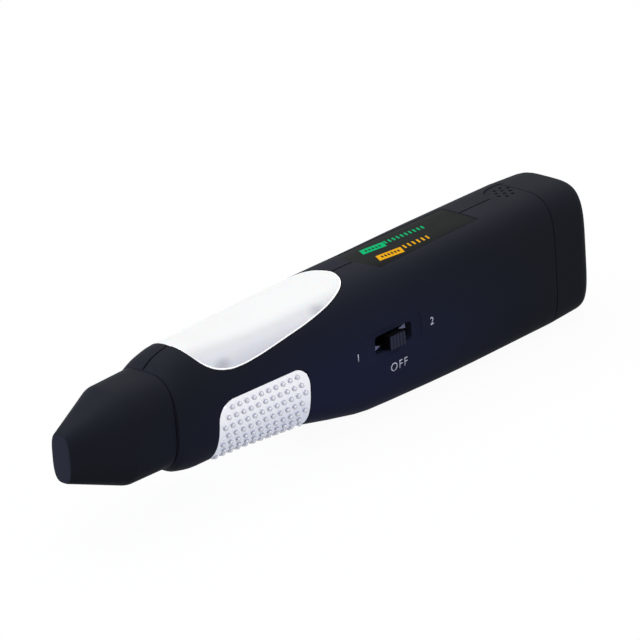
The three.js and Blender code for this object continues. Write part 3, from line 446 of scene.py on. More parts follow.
def finish(name, tone, second_tone, roughness, grain=0.002, group=moulded_surface,
           scales=(60, 4000), **constants):
    """Material from one shared group, with its constants on the shader's own sockets."""
    material = bpy.data.materials.new(name)
    material.use_nodes = True
    tree = material.node_tree
    place = new_node(tree, "TexCoord", name="place")
    surface = new_node(tree, "Group", node_tree=group, inputs={
        "Vector": place.outputs["Object"], "Tone": (*tone, 1), "Second tone": (*second_tone, 1),
        "Mottle scale": scales[0], "Grain scale": scales[1],
        "Roughness low": roughness[0], "Roughness high": roughness[1]})
    bump = new_node(tree, "Bump", {"Strength": 1, "Distance": grain * MM,
                                   "Height": surface.outputs["Height"]})
    shader = tree.nodes["Principled BSDF"].inputs
    tree.links.new(surface.outputs["Color"], shader["Base Color"])
    tree.links.new(surface.outputs["Roughness"], shader["Roughness"])
    tree.links.new(bump.outputs["Normal"], shader["Normal"])
    shader["Subsurface Scale"].default_value = MM
    for constant, value in constants.items():
        shader[shader_inputs[constant]].default_value = value
    return material


print("a finish can set", list(shader_inputs))

# %% [markdown]
# The outside has a soft black coating, a silvery plate, a matte label and flat inks. Their shine is
# kept low, because the real coating hardly mirrors the white room around it.

# %% Finishes of the outside
matte = (0.5, 0.6)
soft_black = finish("soft_black", (0.0195, 0.0218, 0.0276), (0.0174, 0.0195, 0.0248), (0.52, 0.62),
                    grain=0.004, specular=0.015)
knob_black = finish("knob_black", (0.0035, 0.0035, 0.005), (0.003, 0.003, 0.0045), (0.45, 0.55),
                    specular=0.04)
# Near-black for parts seen only in shade, as painted shade
slot_shade_black = finish("slot_shade_black", (0.003, 0.003, 0.004), (0.0025, 0.0025, 0.0035), matte,
                    specular=0.03)
satin_silver = finish("satin_silver", (0.97, 0.975, 1.0), (0.94, 0.945, 0.985), (0.32, 0.4),
                      grain=0.003, metallic=0.85, scales=(120, 5000))
dot_silver = finish("dot_silver", (0.9, 0.905, 0.94), (0.86, 0.865, 0.9), (0.25, 0.32),
                    grain=0.001, metallic=0.35)
label_film = finish("label_film", (0.0062, 0.0072, 0.0072), (0.0054, 0.0063, 0.0063), (0.5, 0.58),
                    specular=0.04)
green_ink = finish("green_ink", (0.0, 0.47, 0.165), (0.0, 0.43, 0.15), matte, specular=0.02)
amber_ink = finish("amber_ink", (0.88, 0.43, 0.008), (0.82, 0.4, 0.007), matte, specular=0.02)
pale_ink = finish("pale_ink", (0.92, 0.92, 1.0), (0.88, 0.88, 0.97), matte, specular=0.05)
arrow_ink = finish("arrow_ink", (0.36, 0.36, 0.5), (0.32, 0.32, 0.45), matte, specular=0.05)
milky_white = finish("milky_white", (0.89, 0.888, 0.863), (0.87, 0.868, 0.843), (0.4, 0.48),
                     grain=0.001, subsurface=0.2)
print("finishes", len(bpy.data.materials))

# %% [markdown]
# Inside there are plain plastics, three metals, clear lamps, wire sleeves and the board's green
# mask. The metals share their streaks, so their settings are kept together.

# %% Finishes of the inside
metal = {"group": drawn_metal, "scales": (4000, 4000), "metallic": 1}
gloss_black = finish("gloss_black", (0.012, 0.012, 0.014), (0.009, 0.009, 0.011), (0.22, 0.3))
ceramic = finish("ceramic", (0.74, 0.71, 0.63), (0.68, 0.65, 0.57), matte)
copper = finish("copper", (0.63, 0.26, 0.14), (0.52, 0.2, 0.1), (0.18, 0.32), **metal)
brass = finish("brass", (0.56, 0.38, 0.12), (0.48, 0.31, 0.09), (0.22, 0.36), **metal)
steel = finish("steel", (0.42, 0.43, 0.45), (0.34, 0.35, 0.37), (0.22, 0.36), **metal)
board_mask = finish("board_mask", (0.012, 0.11, 0.045), (0.008, 0.085, 0.035), (0.3, 0.4), coat=0.3)
amber_lens = finish("amber_lens", (0.8, 0.35, 0.03), (0.72, 0.3, 0.03), (0.08, 0.14),
                    transmission=0.5)
green_lens = finish("green_lens", (0.05, 0.45, 0.15), (0.04, 0.4, 0.13), (0.08, 0.14),
                    transmission=0.5)
violet_lens = finish("violet_lens", (0.5, 0.42, 0.75), (0.44, 0.37, 0.68), (0.06, 0.12),
                     transmission=0.5)
red_sleeve = finish("red_sleeve", (0.4, 0.02, 0.012), (0.33, 0.016, 0.01), (0.45, 0.55))
black_sleeve = finish("black_sleeve", (0.01, 0.01, 0.011), (0.008, 0.008, 0.009), (0.45, 0.55))
blue_body = finish("blue_body", (0.02, 0.09, 0.38), (0.016, 0.075, 0.32), (0.3, 0.4))
battery_print = finish("battery_print", (0.03, 0.032, 0.036), (0.024, 0.026, 0.03), (0.25, 0.32),
                       coat=0.3)
print("finishes", len(bpy.data.materials))

# %% [markdown]
# ## Masks over a finish
# Some finishes change from place to place, and a mask says where. It may follow the height, the way
# that a face looks, the distance from a piece's edge, which the mesh then carries as an attribute,
# or a soft ball round one spot. A tint lays another colour over the finish where the mask is 1.

# %% Helpers for masks
def ramp(material, value, start, end, most=1.0, least=0.0):
    """Mask that rises from least to most while a value goes from start to end."""
    limits = {"From Min": start, "From Max": end, "To Min": least, "To Max": most}
    return new_node(material.node_tree, "MapRange", {"Value": value, **limits},
                    interpolation_type="SMOOTHSTEP").outputs["Result"]


def axis_ramp(material, part, axis, start, end):
    """Mask that follows one axis of the place (Object) or of the way that a face looks (Normal)."""
    tree = material.node_tree
    axes = new_node(tree, "SeparateXYZ", {"Vector": tree.nodes["place"].outputs[part]})
    return ramp(material, axes.outputs[axis], start, end)


def edge_ramp(material, start, end, most=1.0, least=0.0):
    """Mask that follows the distance in mm from the piece's edge."""
    edge = new_node(material.node_tree, "Attribute", attribute_name="edge")
    return ramp(material, edge.outputs["Fac"], start, end, most, least)


def ball(material, centre, radii, most=1.0):
    """Mask that is most at a spot and fades to 0 at the radii."""
    tree = material.node_tree
    offset = new_node(tree, "Mapping", vector_type="TEXTURE", inputs={
        "Vector": tree.nodes["place"].outputs["Object"], "Location": centre, "Scale": radii})
    fade = new_node(tree, "TexGradient", {"Vector": offset.outputs["Vector"]},
                    gradient_type="SPHERICAL")
    return ramp(material, fade.outputs["Fac"], 0, 1, most)


def tint(material, mask, colour):
    """Lays a colour over the finish where the mask is 1."""
    tree = material.node_tree
    base = tree.nodes["Principled BSDF"].inputs["Base Color"]
    mix = new_node(tree, "Mix", data_type="RGBA", inputs={
        "Factor": mask, "A": base.links[0].from_socket, "B": (*colour, 1)})
    tree.links.new(mix.outputs["Result"], base)


print("masks can be laid")

# %% [markdown]
# The soft coating has a painted blue sheen on the middle of the body and a paler painted sheen
# along its top, and the cap's flat end is painted paler, as painted light. The plate is painted
# darker low down, as painted shade, and painted shade darkens the foot of each dot. The knob's
# ribbed face is painted paler than its sides, as painted light.

# %% Finishes with painted light and shade from place to place
# Places and sizes of the painted blue sheen on the middle and the painted sheen on the top
blue_sheen_centre, blue_sheen_radii = (-0.002, middle_y, 0.011), (0.075, 0.045, 0.026)
top_sheen_centre, top_sheen_radii = (0.035, middle_y, 0.035), (0.06, 0.018, 0.008)
# Painted blue sheen over the middle of the body
tint(soft_black, ball(soft_black, blue_sheen_centre, blue_sheen_radii), (0.0225, 0.0265, 0.062))
# Painted light: the cap's flat end is painted paler
tint(soft_black, axis_ramp(soft_black, "Normal", "X", -0.93, -0.99), (0.03, 0.031, 0.044))
# Painted sheen: the top of the body is painted paler
tint(soft_black, ball(soft_black, top_sheen_centre, top_sheen_radii), (0.027, 0.0275, 0.036))
# Painted shade: the plate is painted darker towards the bottom
tint(satin_silver, axis_ramp(satin_silver, "Object", "Z", 0.02, 0.003), (0.61, 0.65, 0.79))
# Painted shade: the foot of each dot, where it meets the plate, is painted darker
tint(dot_silver, edge_ramp(dot_silver, 0.34, 0.08, 0.8), (0.36, 0.37, 0.45))
# Painted light: the knob's outward ribbed face is painted paler than its sides
tint(knob_black, axis_ramp(knob_black, "Normal", "Y", -0.6, -0.9), (0.04, 0.044, 0.07))
print("black coating has", len(soft_black.node_tree.nodes), "nodes")

# %% [markdown]
# The light window is milky plastic over two small lamps, whose soft grey shadows on each side are
# painted into its colour. Its sides are painted lighter than its top, as painted light, and its
# polished rim is painted white all round and made metallic, as a painted highlight.

# %% Milky window
white = (1, 1, 1)
lamp_shade, lamp_shade_most = (0.45, 0.46, 0.52), 0.58
lamp_shade_radii = (3.6 * MM, 2.8 * MM, 2.1 * MM)
rim_start, rim_end = 0.45, 0.36
window_low, window_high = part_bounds("light_window")
# Painted light: the window's steeper sides are painted lighter
tint(milky_white, axis_ramp(milky_white, "Normal", "Z", 0.85, 0.6), white)
# Painted shadows of the two lamps, on each side of the window
for lamp_x, lamp_out, lamp_z in ((window_low.x + 7.4 * MM, 8.5 * MM, 28.3 * MM),
                                 (window_high.x - 14.2 * MM, 8.6 * MM, 30.4 * MM)):
    for side in (-1, 1):
        centre = (lamp_x, middle_y + side * lamp_out, lamp_z)
        tint(milky_white, ball(milky_white, centre, lamp_shade_radii, lamp_shade_most), lamp_shade)
# Painted highlight: the rim is painted white
tint(milky_white, edge_ramp(milky_white, rim_start, rim_end), white)
# The rim is made metallic, and the rest of the window faintly, so that it mirrors the white room as
# a highlight
rim_glint = edge_ramp(milky_white, rim_start, rim_end, 1.0, 0.06)
milky_white.node_tree.links.new(
    rim_glint, milky_white.node_tree.nodes["Principled BSDF"].inputs["Metallic"])
print("window finish has", len(milky_white.node_tree.nodes), "nodes")

# %% [markdown]
# The printed battery can has a copper-coloured band round its rear end.

# %% Band on the battery
battery_low, battery_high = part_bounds("battery")
band_length, band_edge = 15 * MM, 0.1 * MM
band_start = battery_high.x - band_length
tint(battery_print, axis_ramp(battery_print, "Object", "X", band_start, band_start + band_edge),
     (0.5, 0.24, 0.09))
print("band starts at", round(band_start / MM, 1), "mm")

# %% [markdown]
# ## Patches that lie in the casing's skin
# The window, the touch plate and the label are let into the casing, flush with its form. Each is a
# flat slab of a grid that is wrapped on the form: one grid direction follows the length, the other
# goes round the section. The same wrap, grown by the fit and taken deeper, cuts the recess, so that
# the gap round each insert is even.

# %% Wrap a slab on the casing
def edge_round(x, end, size):
    """How far a rounded edge has drawn in at x, near one end."""
    past = max(0, size - abs(end - x)) / size
    return size * (1 - math.sqrt(max(0, 1 - past * past)))


def wrapped(name, along, across, place, inner, outer, rim=0.0):
    """Wrapped slab. place(u, t) gives place along, turn and distance from the slab's edge."""
    bm = bmesh.new()
    edge = bm.verts.layers.float.new("edge")
    bmesh.ops.create_grid(bm, x_segments=along, y_segments=across, size=1)
    raised = thickened(bm)
    for vert in bm.verts:
        x, turn, distance = place(vert.co.x, vert.co.y)
        vert[edge] = distance / MM
        inset = outer + (edge_round(distance, 0, rim) if rim else 0) if vert in raised else inner
        vert.co = Vector((x, *on_section(casing_section(x, inset), turn)))
    bmesh.ops.remove_doubles(bm, verts=bm.verts[:], dist=merge_distance)
    bmesh.ops.dissolve_degenerate(bm, edges=bm.edges[:], dist=merge_distance)
    return to_object(name, bm)


def crowded(share):
    """Share from -1 to 1, crowded towards both ends."""
    return math.sin(math.pi / 2 * share)


print("slabs can be wrapped")

# %% [markdown]
# The window's outline is a long drop: blunt at the front, widest before its middle and pointed at
# the rear. Its edge is given as turns from the top, at shares of its length.

# %% Window's slab
window_edge_shares = [0.006, 0.0075, 0.012, 0.022, 0.036, 0.055, 0.08, 0.11, 0.15, 0.2, 0.26, 0.33,
                      0.42, 0.52, 0.62, 0.71, 0.79, 0.86, 0.92, 0.96, 0.985, 1]
window_edge_turns = [0, 8, 22, 32, 40.5, 47.7, 53.7, 58.4, 62.2, 64.8, 65.6, 64.6, 61.6, 57, 51.9,
                     46, 39.5, 31.3, 21.5, 12, 4.2, 0]


def girth(x, turn):
    """Length round the section for each unit of turn."""
    section, step = casing_section(x), 0.01
    ahead, behind = on_section(section, turn + step), on_section(section, turn - step)
    return math.dist(ahead, behind) / (2 * step)


@functools.cache
def window_row(u, margin):
    """Place along, edge turn and width of the window's row at u, from -1 to 1."""
    row = (u + 1) / 2 * (len(window_edge_shares) - 1)
    rows = range(len(window_edge_shares))
    middle, length = (window_low.x + window_high.x) / 2, window_high.x - window_low.x
    x = middle + (smooth(rows, window_edge_shares, row) - 0.5) * (length + 2 * margin)
    turn = math.radians(smooth(rows, window_edge_turns, row))
    reach = girth(x, max(turn, 0.3))
    return x, max(turn + margin / reach, 0.01 if margin else 0), turn * reach


def window_slab(name, margin, inner, outer, rows=96, rim=0.0):
    """Window's slab, grown by a margin."""
    def place(u, t):
        x, turn, width = window_row(u, margin)
        t = crowded(t)
        distance = min((1 - abs(t)) * width, x - window_low.x, window_high.x - x)
        return x, turn * t, max(distance, 0)
    return wrapped(name, rows, 48, place, inner, outer, rim)


print("window is widest at turn", max(window_edge_turns))

# %% [markdown]
# The touch plate runs under the grip from one side to the other. Its rows are spaced by the length
# round the grip and not by the turn, so that its corners stay round where the section changes.

# %% Touch plate's slab
plate_low, plate_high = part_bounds("touch_plate")
plate_corner = 4.6 * MM
halvings = 40
girth_steps = 1500


@functools.cache
def plate_turn(x, height):
    """Turn from the top at which the casing's side is at a height."""
    section = casing_section(x)
    near, far = math.pi / 4, math.pi
    for _ in range(halvings):
        turn = (near + far) / 2
        if on_section(section, turn)[1] > height:
            near = turn
        else:
            far = turn
    return near


@functools.cache
def grip_lengths(place):
    """Lengths round the grip from straight under it to the plate's upper edge, at a place in mm."""
    section, reach = casing_section(place * MM), math.pi - plate_turn(place * MM, plate_high.z)
    turns = [math.pi - reach * share for share in spread(0, 1, girth_steps + 1)]
    points = [on_section(section, turn) for turn in turns]
    lengths = [0.0]
    for a, b in zip(points, points[1:]):
        lengths.append(lengths[-1] + math.dist(a, b))
    return lengths


def grip_turn(x, share, height):
    """Turn at a share of the length from straight under the grip (0) to its sides (-1 and 1)."""
    lengths = grip_lengths(round(x / MM))
    wanted = min(abs(share), 1) * lengths[-1]
    i = min(max(bisect.bisect_left(lengths, wanted), 1), len(lengths) - 1)
    steps = i - 1 + (wanted - lengths[i - 1]) / (lengths[i] - lengths[i - 1])
    reach = math.pi - plate_turn(x, height)
    return math.pi - math.copysign(steps / (len(lengths) - 1), share) * reach


def plate_slab(name, margin, inner, outer, rim=0.0):
    """Touch plate's slab with round corners, grown by a margin."""
    front, rear, top = plate_low.x - margin, plate_high.x + margin, plate_high.z + margin
    middle_x = (front + rear) / 2
    half_girth = grip_lengths(round(middle_x / MM))[-1]

    def place(u, t):
        u, t = crowded(u), crowded(t)
        distance = (1 - abs(t)) * half_girth
        over = max(0, plate_corner - distance) / plate_corner
        half = (rear - front) / 2 - plate_corner * (1 - math.sqrt(1 - over * over))
        x = middle_x + u * half
        return x, grip_turn(x, t, top), min((1 - abs(u)) * half, distance)
    return wrapped(name, 32, 128, place, inner, outer, rim)


print("plate length in mm", round((plate_high.x - plate_low.x) / MM, 1))

# %% [markdown]
# The label is a film with an arc for its front end. It narrows a little to the rear, as the casing
# does.

# %% Label's slab
label_low, label_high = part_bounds("label_plate")
label_bow = 2 * MM
label_taper = 0.7 * MM
label_setback = 0.6 * MM


def label_slab(name, margin, inner, outer):
    """Label's slab, grown by a margin."""
    widest = (label_high.y - label_low.y) / 2 + margin
    front, rear = label_low.x - margin, label_high.x - label_setback + margin

    def place(u, t):
        half = widest - label_taper * (u + 1) / 2
        x = front + label_bow * t * t * (1 - u) / 2 + (u + 1) / 2 * (rear - front)
        half_width, _, _, square_top, _ = casing_section(x)
        across = min(1, abs(t * half) / half_width) ** (square_top / 2)
        return x, math.copysign(math.asin(across), t), 0
    return wrapped(name, 36, 16, place, inner, outer)


print("label length in mm", round((label_high.x - label_low.x) / MM, 1))

# %% [markdown]
# ## The casing, cut from one solid
# The two halves and the cover are moulded apart in life, but their outside is one surface. So one
# solid is made and cut like the real tool would be: hollow, recesses, switch slot, grille, battery
# bay. It is then split along the parting plane and at the tail seam.

# %% One solid casing
wall = 1.8 * MM
tail_wall = 2 * MM
overrun = 2 * MM
body_front = casing_front + 0.04 * MM
rim_rounding = 0.12 * MM
tail_rounding = 3.9 * MM
tail_top_rounding = 2.2 * MM
station_shares = [0.009, 0.02, 0.03, 0.04, 0.05, 0.062, 0.075, 0.09, 0.11, 0.13, 0.15, 0.18, 0.21,
                  0.24, 0.27, 0.3, 0.33, 0.36, 0.39, 0.42, 0.45, 0.48, 0.51, 0.55, 0.6, 0.65, 0.7,
                  0.75, 0.8, 0.85, 0.904]


def stations(start, end):
    """Places along the casing between two others where a ring is wanted."""
    places = [casing_front + share * casing_length for share in station_shares]
    return [x for x in places if start < x < end]


def outer_section(x):
    """Section of the finished outside, with its rounded tail and front rim."""
    half_width, top, bottom, *powers = casing_section(x, edge_round(x, body_front, rim_rounding))
    sideways = edge_round(x, cad_high.x, tail_rounding)
    upright = edge_round(x, cad_high.x, tail_top_rounding)
    return half_width - sideways, top - upright, bottom + upright, *powers


def outside(name):
    """Solid of the whole outside, flat underneath."""
    rim = [body_front + rim_rounding * (1 - math.sin(t)) for t in spread(math.pi / 2, 0, 4)]
    tail = [cad_high.x - tail_rounding * (1 - math.sin(t)) for t in spread(0, math.pi / 2, 10)]
    solid = tube_of_sections(name, rim + stations(rim[-1], tail[0]) + tail, outer_section)
    for vert in solid.data.vertices:
        vert.co.z = max(vert.co.z, 0)
    return solid


def form_between(name, inset, start, end):
    """Casing's form between two places, drawn in by inset."""
    places = [start, *stations(start, end), end]
    return tube_of_sections(name, places, lambda x: casing_section(x, inset), tool_steps)


casing = outside("casing")
combine(casing, form_between("hollow", wall, body_front + wall, cad_high.x - tail_wall))
print("casing faces", len(casing.data.polygons))

# %% [markdown]
# The neck that the cap pushes on to, and the posts that the screws run in, are joined on before
# any opening is cut, so that every cut goes through wall and post alike. The neck has the cap's own
# section, less the cap's wall and the fit between them.

# %% Neck and screw posts
cap_low, cap_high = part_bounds("nose_cap")
cap_taper = 14.1 * MM
cap_wall = 1.3 * MM
cap_fit = 0.3 * MM
cap_square = 3.1
cap_sizes = [(5.4 * MM, 11.2 * MM), (16 * MM, 21.7 * MM),
             (cap_high.y - cap_low.y, cap_high.z - cap_low.z)]
neck_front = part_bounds("near_shell")[0].x
neck_rounding = 0.5 * MM
thin_post, thick_post = 2.1 * MM, 3 * MM
post_reach = 4 * MM
screws = {name: [(a + b) / 2 for a, b in zip(*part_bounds(name))]
          for name in ("screw_nose", "screw_belly", "screw_top")}


def cap_section(x, inset=0.0):
    """Section of the cap at x: a taper from tip to shoulder, then an almost straight skirt."""
    taper = min((x - cap_low.x) / cap_taper, 1)
    skirt = max((x - cap_low.x - cap_taper) / (casing_front - cap_low.x - cap_taper), 0)
    half_width, half_height = [
        (tip + (shoulder - tip) * taper + (mouth - shoulder) * skirt) / 2 - inset
        for tip, shoulder, mouth in zip(*cap_sizes)]
    return half_width, nose_height + half_height, nose_height - half_height, cap_square, cap_square


def neck_section(x):
    """Section of the neck, with a small rounding at its front edge."""
    return cap_section(x, cap_wall + cap_fit + edge_round(x, neck_front, neck_rounding))


neck_places = [neck_front, neck_front + 0.4 * neck_rounding, neck_front + neck_rounding,
               body_front + wall]
combine(casing, tube_of_sections("neck", neck_places, neck_section, tool_steps), "UNION")
for x, _, z in screws.values():
    reach = casing_half_width
    profile = [(-reach, 0), (-reach, thin_post), (0, thin_post), (0, thick_post),
               (reach, thick_post), (reach, 0)]
    post = spun("post", profile, width_axis, Vector((x, middle_y, z)), 32)
    limit = form_between("post_limit", 0.5 * MM, x - post_reach, x + post_reach)
    combine(casing, combine(post, limit, "INTERSECT"), "UNION")
print("posts", len(screws))

# %% [markdown]
# The openings follow. The probe and the lamp come out through bores in the neck, the window sits on
# a ledge over its own opening, the tail is bored square for the battery, and each screw's head gets
# a counterbore on the far side.

# %% Openings
insert_gap = 0.12 * MM
insert_fit = 0.2 * MM
window_thickness = 1 * MM
window_ledge = 1.2 * MM
plate_thickness = 0.6 * MM
label_recess = 0.5 * MM
bay_fit = 0.3 * MM
bay_corner = 2.2 * MM
snap_room = 1.6 * MM
flange_x = casing_front + seam_gap / 2 + wall + 0.3 * MM
lamp_low, lamp_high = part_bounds("ultraviolet_lamp")
lamp_height = (lamp_low.z + lamp_high.z) / 2
probe_bore, lamp_bore, head_bore = 4.7 * MM, 1.75 * MM, 1.95 * MM
head_height = 1.4 * MM


def battery_bay():
    """Square bore for the battery, with round corners."""
    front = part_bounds("battery_snap")[0].x - snap_room
    low = (front, battery_low.y - bay_fit, battery_low.z - bay_fit)
    high = (cad_high.x - tail_wall, battery_high.y + bay_fit, battery_high.z + bay_fit)
    return block("bay", low, high, bay_corner, 0)


for radius, height in ((probe_bore, nose_height), (lamp_bore, lamp_height)):
    combine(casing, drill(neck_front - overrun, flange_x, radius, length_axis,
                          Vector((0, middle_y, height)), 64))
combine(casing, window_slab("window_recess", insert_gap, window_thickness + insert_fit, -overrun))
combine(casing, window_slab("window_opening", -window_ledge, 2 * wall, 0.5 * window_thickness, 24))
combine(casing, plate_slab("plate_recess", insert_gap, plate_thickness + insert_fit, -overrun))
combine(casing, label_slab("label_recess", insert_gap, label_recess, -overrun))
combine(casing, battery_bay())
for name, (x, _, z) in screws.items():
    head_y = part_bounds(name)[1].y - head_height - middle_y
    combine(casing, drill(head_y, casing_half_width + overrun, head_bore, width_axis,
                          Vector((x, middle_y, z)), 48))
print("casing faces", len(casing.data.polygons))

# %% [markdown]
# ## Switch slot
# The slot runs through the wall inside a shallow scoop that lets a fingertip reach the knob. The
# scoop's cutter has a rounded foot, so the plastic is left with a soft floor edge.

# %% Cut the scoop and the slot
knob_low, knob_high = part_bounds("switch_knob")
switch_x, switch_z = (knob_low.x + knob_high.x) / 2, (knob_low.z + knob_high.z) / 2
switch_face = middle_y - side_distance(switch_x, switch_z)
scoop_size, scoop_corner, scoop_depth = (18.2 * MM, 6.8 * MM), 1.6 * MM, 0.22 * MM
scoop_softness = 0.2 * MM
slot_size, slot_corner = (11.9 * MM, 4.2 * MM), 0.9 * MM


def side_pocket(name, size, corner, depth):
    """Cutter for a pocket in the near side, centred on the switch."""
    low = (switch_x - size[0] / 2, switch_face - overrun, switch_z - size[1] / 2)
    high = (switch_x + size[0] / 2, switch_face + depth, switch_z + size[1] / 2)
    return block(name, low, high, corner, 1)


scoop = side_pocket("scoop", scoop_size, scoop_corner, scoop_depth)
with reopened(scoop) as bm:
    floor_y = switch_face + scoop_depth
    rounded(bm, [e for e in bm.edges if all(abs(v.co.y - floor_y) < 0.01 * MM for v in e.verts)],
            scoop_softness, 3)
combine(casing, scoop)
combine(casing, side_pocket("slot", slot_size, slot_corner, 2 * wall))
print("casing faces", len(casing.data.polygons))

# %% [markdown]
# ## Grille
# The grille is a shallow oval dish over the buzzer, with four staggered rows of small holes. Its
# floor slants: it is deepest at the front on the far side, and runs out to nothing at the rear.

# %% Cut the dish and the holes
buzzer_low, buzzer_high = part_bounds("buzzer_disc")
grille_x = (buzzer_low.x + buzzer_high.x) / 2
grille_top = casing_section(grille_x)[1]
dish_x = grille_x + 2.2 * MM
dish_size = (12.4 * MM, 10.2 * MM)
dish_depth = 0.42 * MM
dish_slope = 0.034
hole_radius = 0.45 * MM
hole_pitch = 2.0 * MM
first_hole_x = grille_x + 0.6 * MM
hole_rows = [(-2.0, (-0.5, 0.5)), (-0.4, (-1, 0, 1)), (1.2, (-0.5, 0.5, 1.5)), (2.7, (0, 1))]


def grille_dish():
    """Oval cutter with a slanting floor."""
    radius = dish_size[1] / 2
    profile = [(0, r) for r in spread(0, radius, 9)] + [(overrun, radius), (overrun, 0)]
    dish = spun("dish", profile, height_axis, Vector((dish_x, middle_y, 0)), 64)
    for vert in dish.data.vertices:
        vert.co.x = dish_x + (vert.co.x - dish_x) * dish_size[0] / dish_size[1]
        if vert.co.z > 0.5 * overrun:
            vert.co.z = grille_top + overrun
            continue
        back = vert.co.x - (dish_x - dish_size[0] / 2)
        near = middle_y + radius - vert.co.y
        vert.co.z = top_height(vert.co.x, vert.co.y) - dish_depth + dish_slope * (back + near)
    return dish


combine(casing, grille_dish())
hole_places = [(first_hole_x + step * hole_pitch, middle_y + row * MM)
               for row, steps in hole_rows for step in steps]
for x, y in hole_places:
    combine(casing, drill(grille_top - 2 * wall, grille_top + overrun, hole_radius, height_axis,
                          Vector((x, y, 0)), 24))
print("grille holes", len(hole_places), "casing faces", len(casing.data.polygons))

# %% [markdown]
# ## Splitting the casing
# The halves meet on the middle plane, where a groove all round marks their seam. The groove is a
# thin box, less the casing's form and less the grille's dish, which it stops short of.

# %% Seam groove
groove_width = 0.42 * MM
groove_depth = 0.6 * MM
far_out = casing_half_width + overrun


def part_box(start, end, near=-far_out, far=far_out, low=-overrun, high=casing_height + overrun):
    """Box round part of the casing. Near and far are counted from the parting plane."""
    return block("part_box", (start, middle_y + near, low), (end, middle_y + far, high))


groove = part_box(body_front - 0.5 * MM, cover_front, -groove_width / 2, groove_width / 2)
combine(groove, form_between("groove_floor", groove_depth, body_front - MM, cover_front + MM))
combine(groove, part_box(dish_x - dish_size[0] / 2, cad_high.x, low=casing_height / 2))
combine(casing, groove)
print("casing faces", len(casing.data.polygons))

# %% [markdown]
# A box on each side keeps one half, and a third one keeps the cover that closes the tail. The cover
# has a spigot that slides inside the shells, which shows when it is pulled off.

# %% Near half, far half and cover
parting_gap = 0.02 * MM
cover_gap = 0.28 * MM
shell_end = cover_front - cover_gap / 2
spigot_top = casing_height - 6.8 * MM
spigot_length = 3.4 * MM
spigot_inset, seat_inset = 1.15 * MM, 0.9 * MM

near_half = combine(copy_of(casing, "near_half"),
                    part_box(cad_low.x, shell_end, far=-parting_gap / 2), "INTERSECT")
far_half = combine(copy_of(casing, "far_half"),
                   part_box(cad_low.x, shell_end, near=parting_gap / 2), "INTERSECT")
tail_cover = combine(copy_of(casing, "tail_cover"),
                     part_box(cover_front + cover_gap / 2, cad_high.x + overrun), "INTERSECT")
bpy.data.objects.remove(casing)

spigot = form_between("spigot", spigot_inset, cover_front - spigot_length, cover_front + wall)
combine(spigot, part_box(cad_low.x, cad_high.x, high=spigot_top), "INTERSECT")
combine(spigot, battery_bay())
combine(tail_cover, spigot, "UNION")
seat_front = cover_front - spigot_length - seam_gap
seat = form_between("seat", seat_inset, seat_front, cover_front + overrun)
combine(seat, part_box(cad_low.x, cad_high.x, high=spigot_top + seam_gap), "INTERSECT")
combine(near_half, seat, keep=True)
combine(far_half, seat)

for piece, node, body in ((near_half, "near_shell", "casing"), (far_half, "far_shell", "casing"),
                          (tail_cover, "battery_cover", "cover")):
    settle(shade(piece, inset=0.0), soft_black, body, node, slot="soft_black")
    print(piece.name, "faces", len(piece.data.polygons))

# %% [markdown]
# ## Window, touch plate and label
# The inserts are the same slabs without the extra margin. The window and the plate are rounded off
# at their rims, because it is that rounding that catches the light as a bright thin line. On the
# window that line is also a painted highlight.

# %% Inserts in the skin
window_rim, plate_rim = 0.3 * MM, 0.25 * MM
label_top = label_recess - 0.4 * MM
label_foot = label_recess - 0.02 * MM

window = window_slab("window", 0.0, window_thickness, 0.0, rim=window_rim)
settle(shade(window, inset=0.0), milky_white, "casing", "light_window", slot="window_white")
plate = plate_slab("grip_plate", 0.0, plate_thickness, 0.0, rim=plate_rim)
settle(shade(plate, inset=0.0), satin_silver, "casing", "touch_plate", slot="satin_silver")
label = label_slab("label", 0.0, label_foot, label_top)
settle(shade(label, inset=label_top), label_film, "casing", "label_plate", slot="label_grey")
print("inserts", window.name, plate.name, label.name)

# %% [markdown]
# ## Raised dots on the touch plate
# The plate has rows of small raised dots, set like bricks, that give the fingers grip and a sure
# contact. One dot is a low profile spun into a bump. It is repeated along each row, and the rows
# are stepped down from the plate's upper edge on both sides.

# %% Dots
dot_radius = 0.6 * MM
dot_height = 0.55 * MM
dot_sink = 0.15 * MM
dot_profile = [(0.4, 0.97), (0.8, 0.76), (1, 0.4), (1, 0)]
dot_steps = 10
dot_pitch = 2.2 * MM
row_pitch = 2.17 * MM
first_row_drop = 1.8 * MM
long_row_inset = 1.65 * MM


def dot_shape():
    """One low round bump with a softly flattened crown, half sunk. It knows its height."""
    points = [(0, dot_radius, -dot_sink)]
    points += [(0, out * dot_radius, up * dot_height) for up, out in dot_profile]
    bm = turned(points, (0, 0, 0), height_axis, dot_steps)
    bmesh.ops.holes_fill(bm, edges=bm.edges[:], sides=0)
    edge = bm.verts.layers.float.new("edge")
    for vert in bm.verts:
        vert[edge] = max(vert.co.z, 0) / MM
    shape = bpy.data.meshes.new("dot")
    bm.to_mesh(shape)
    bm.free()
    return shape


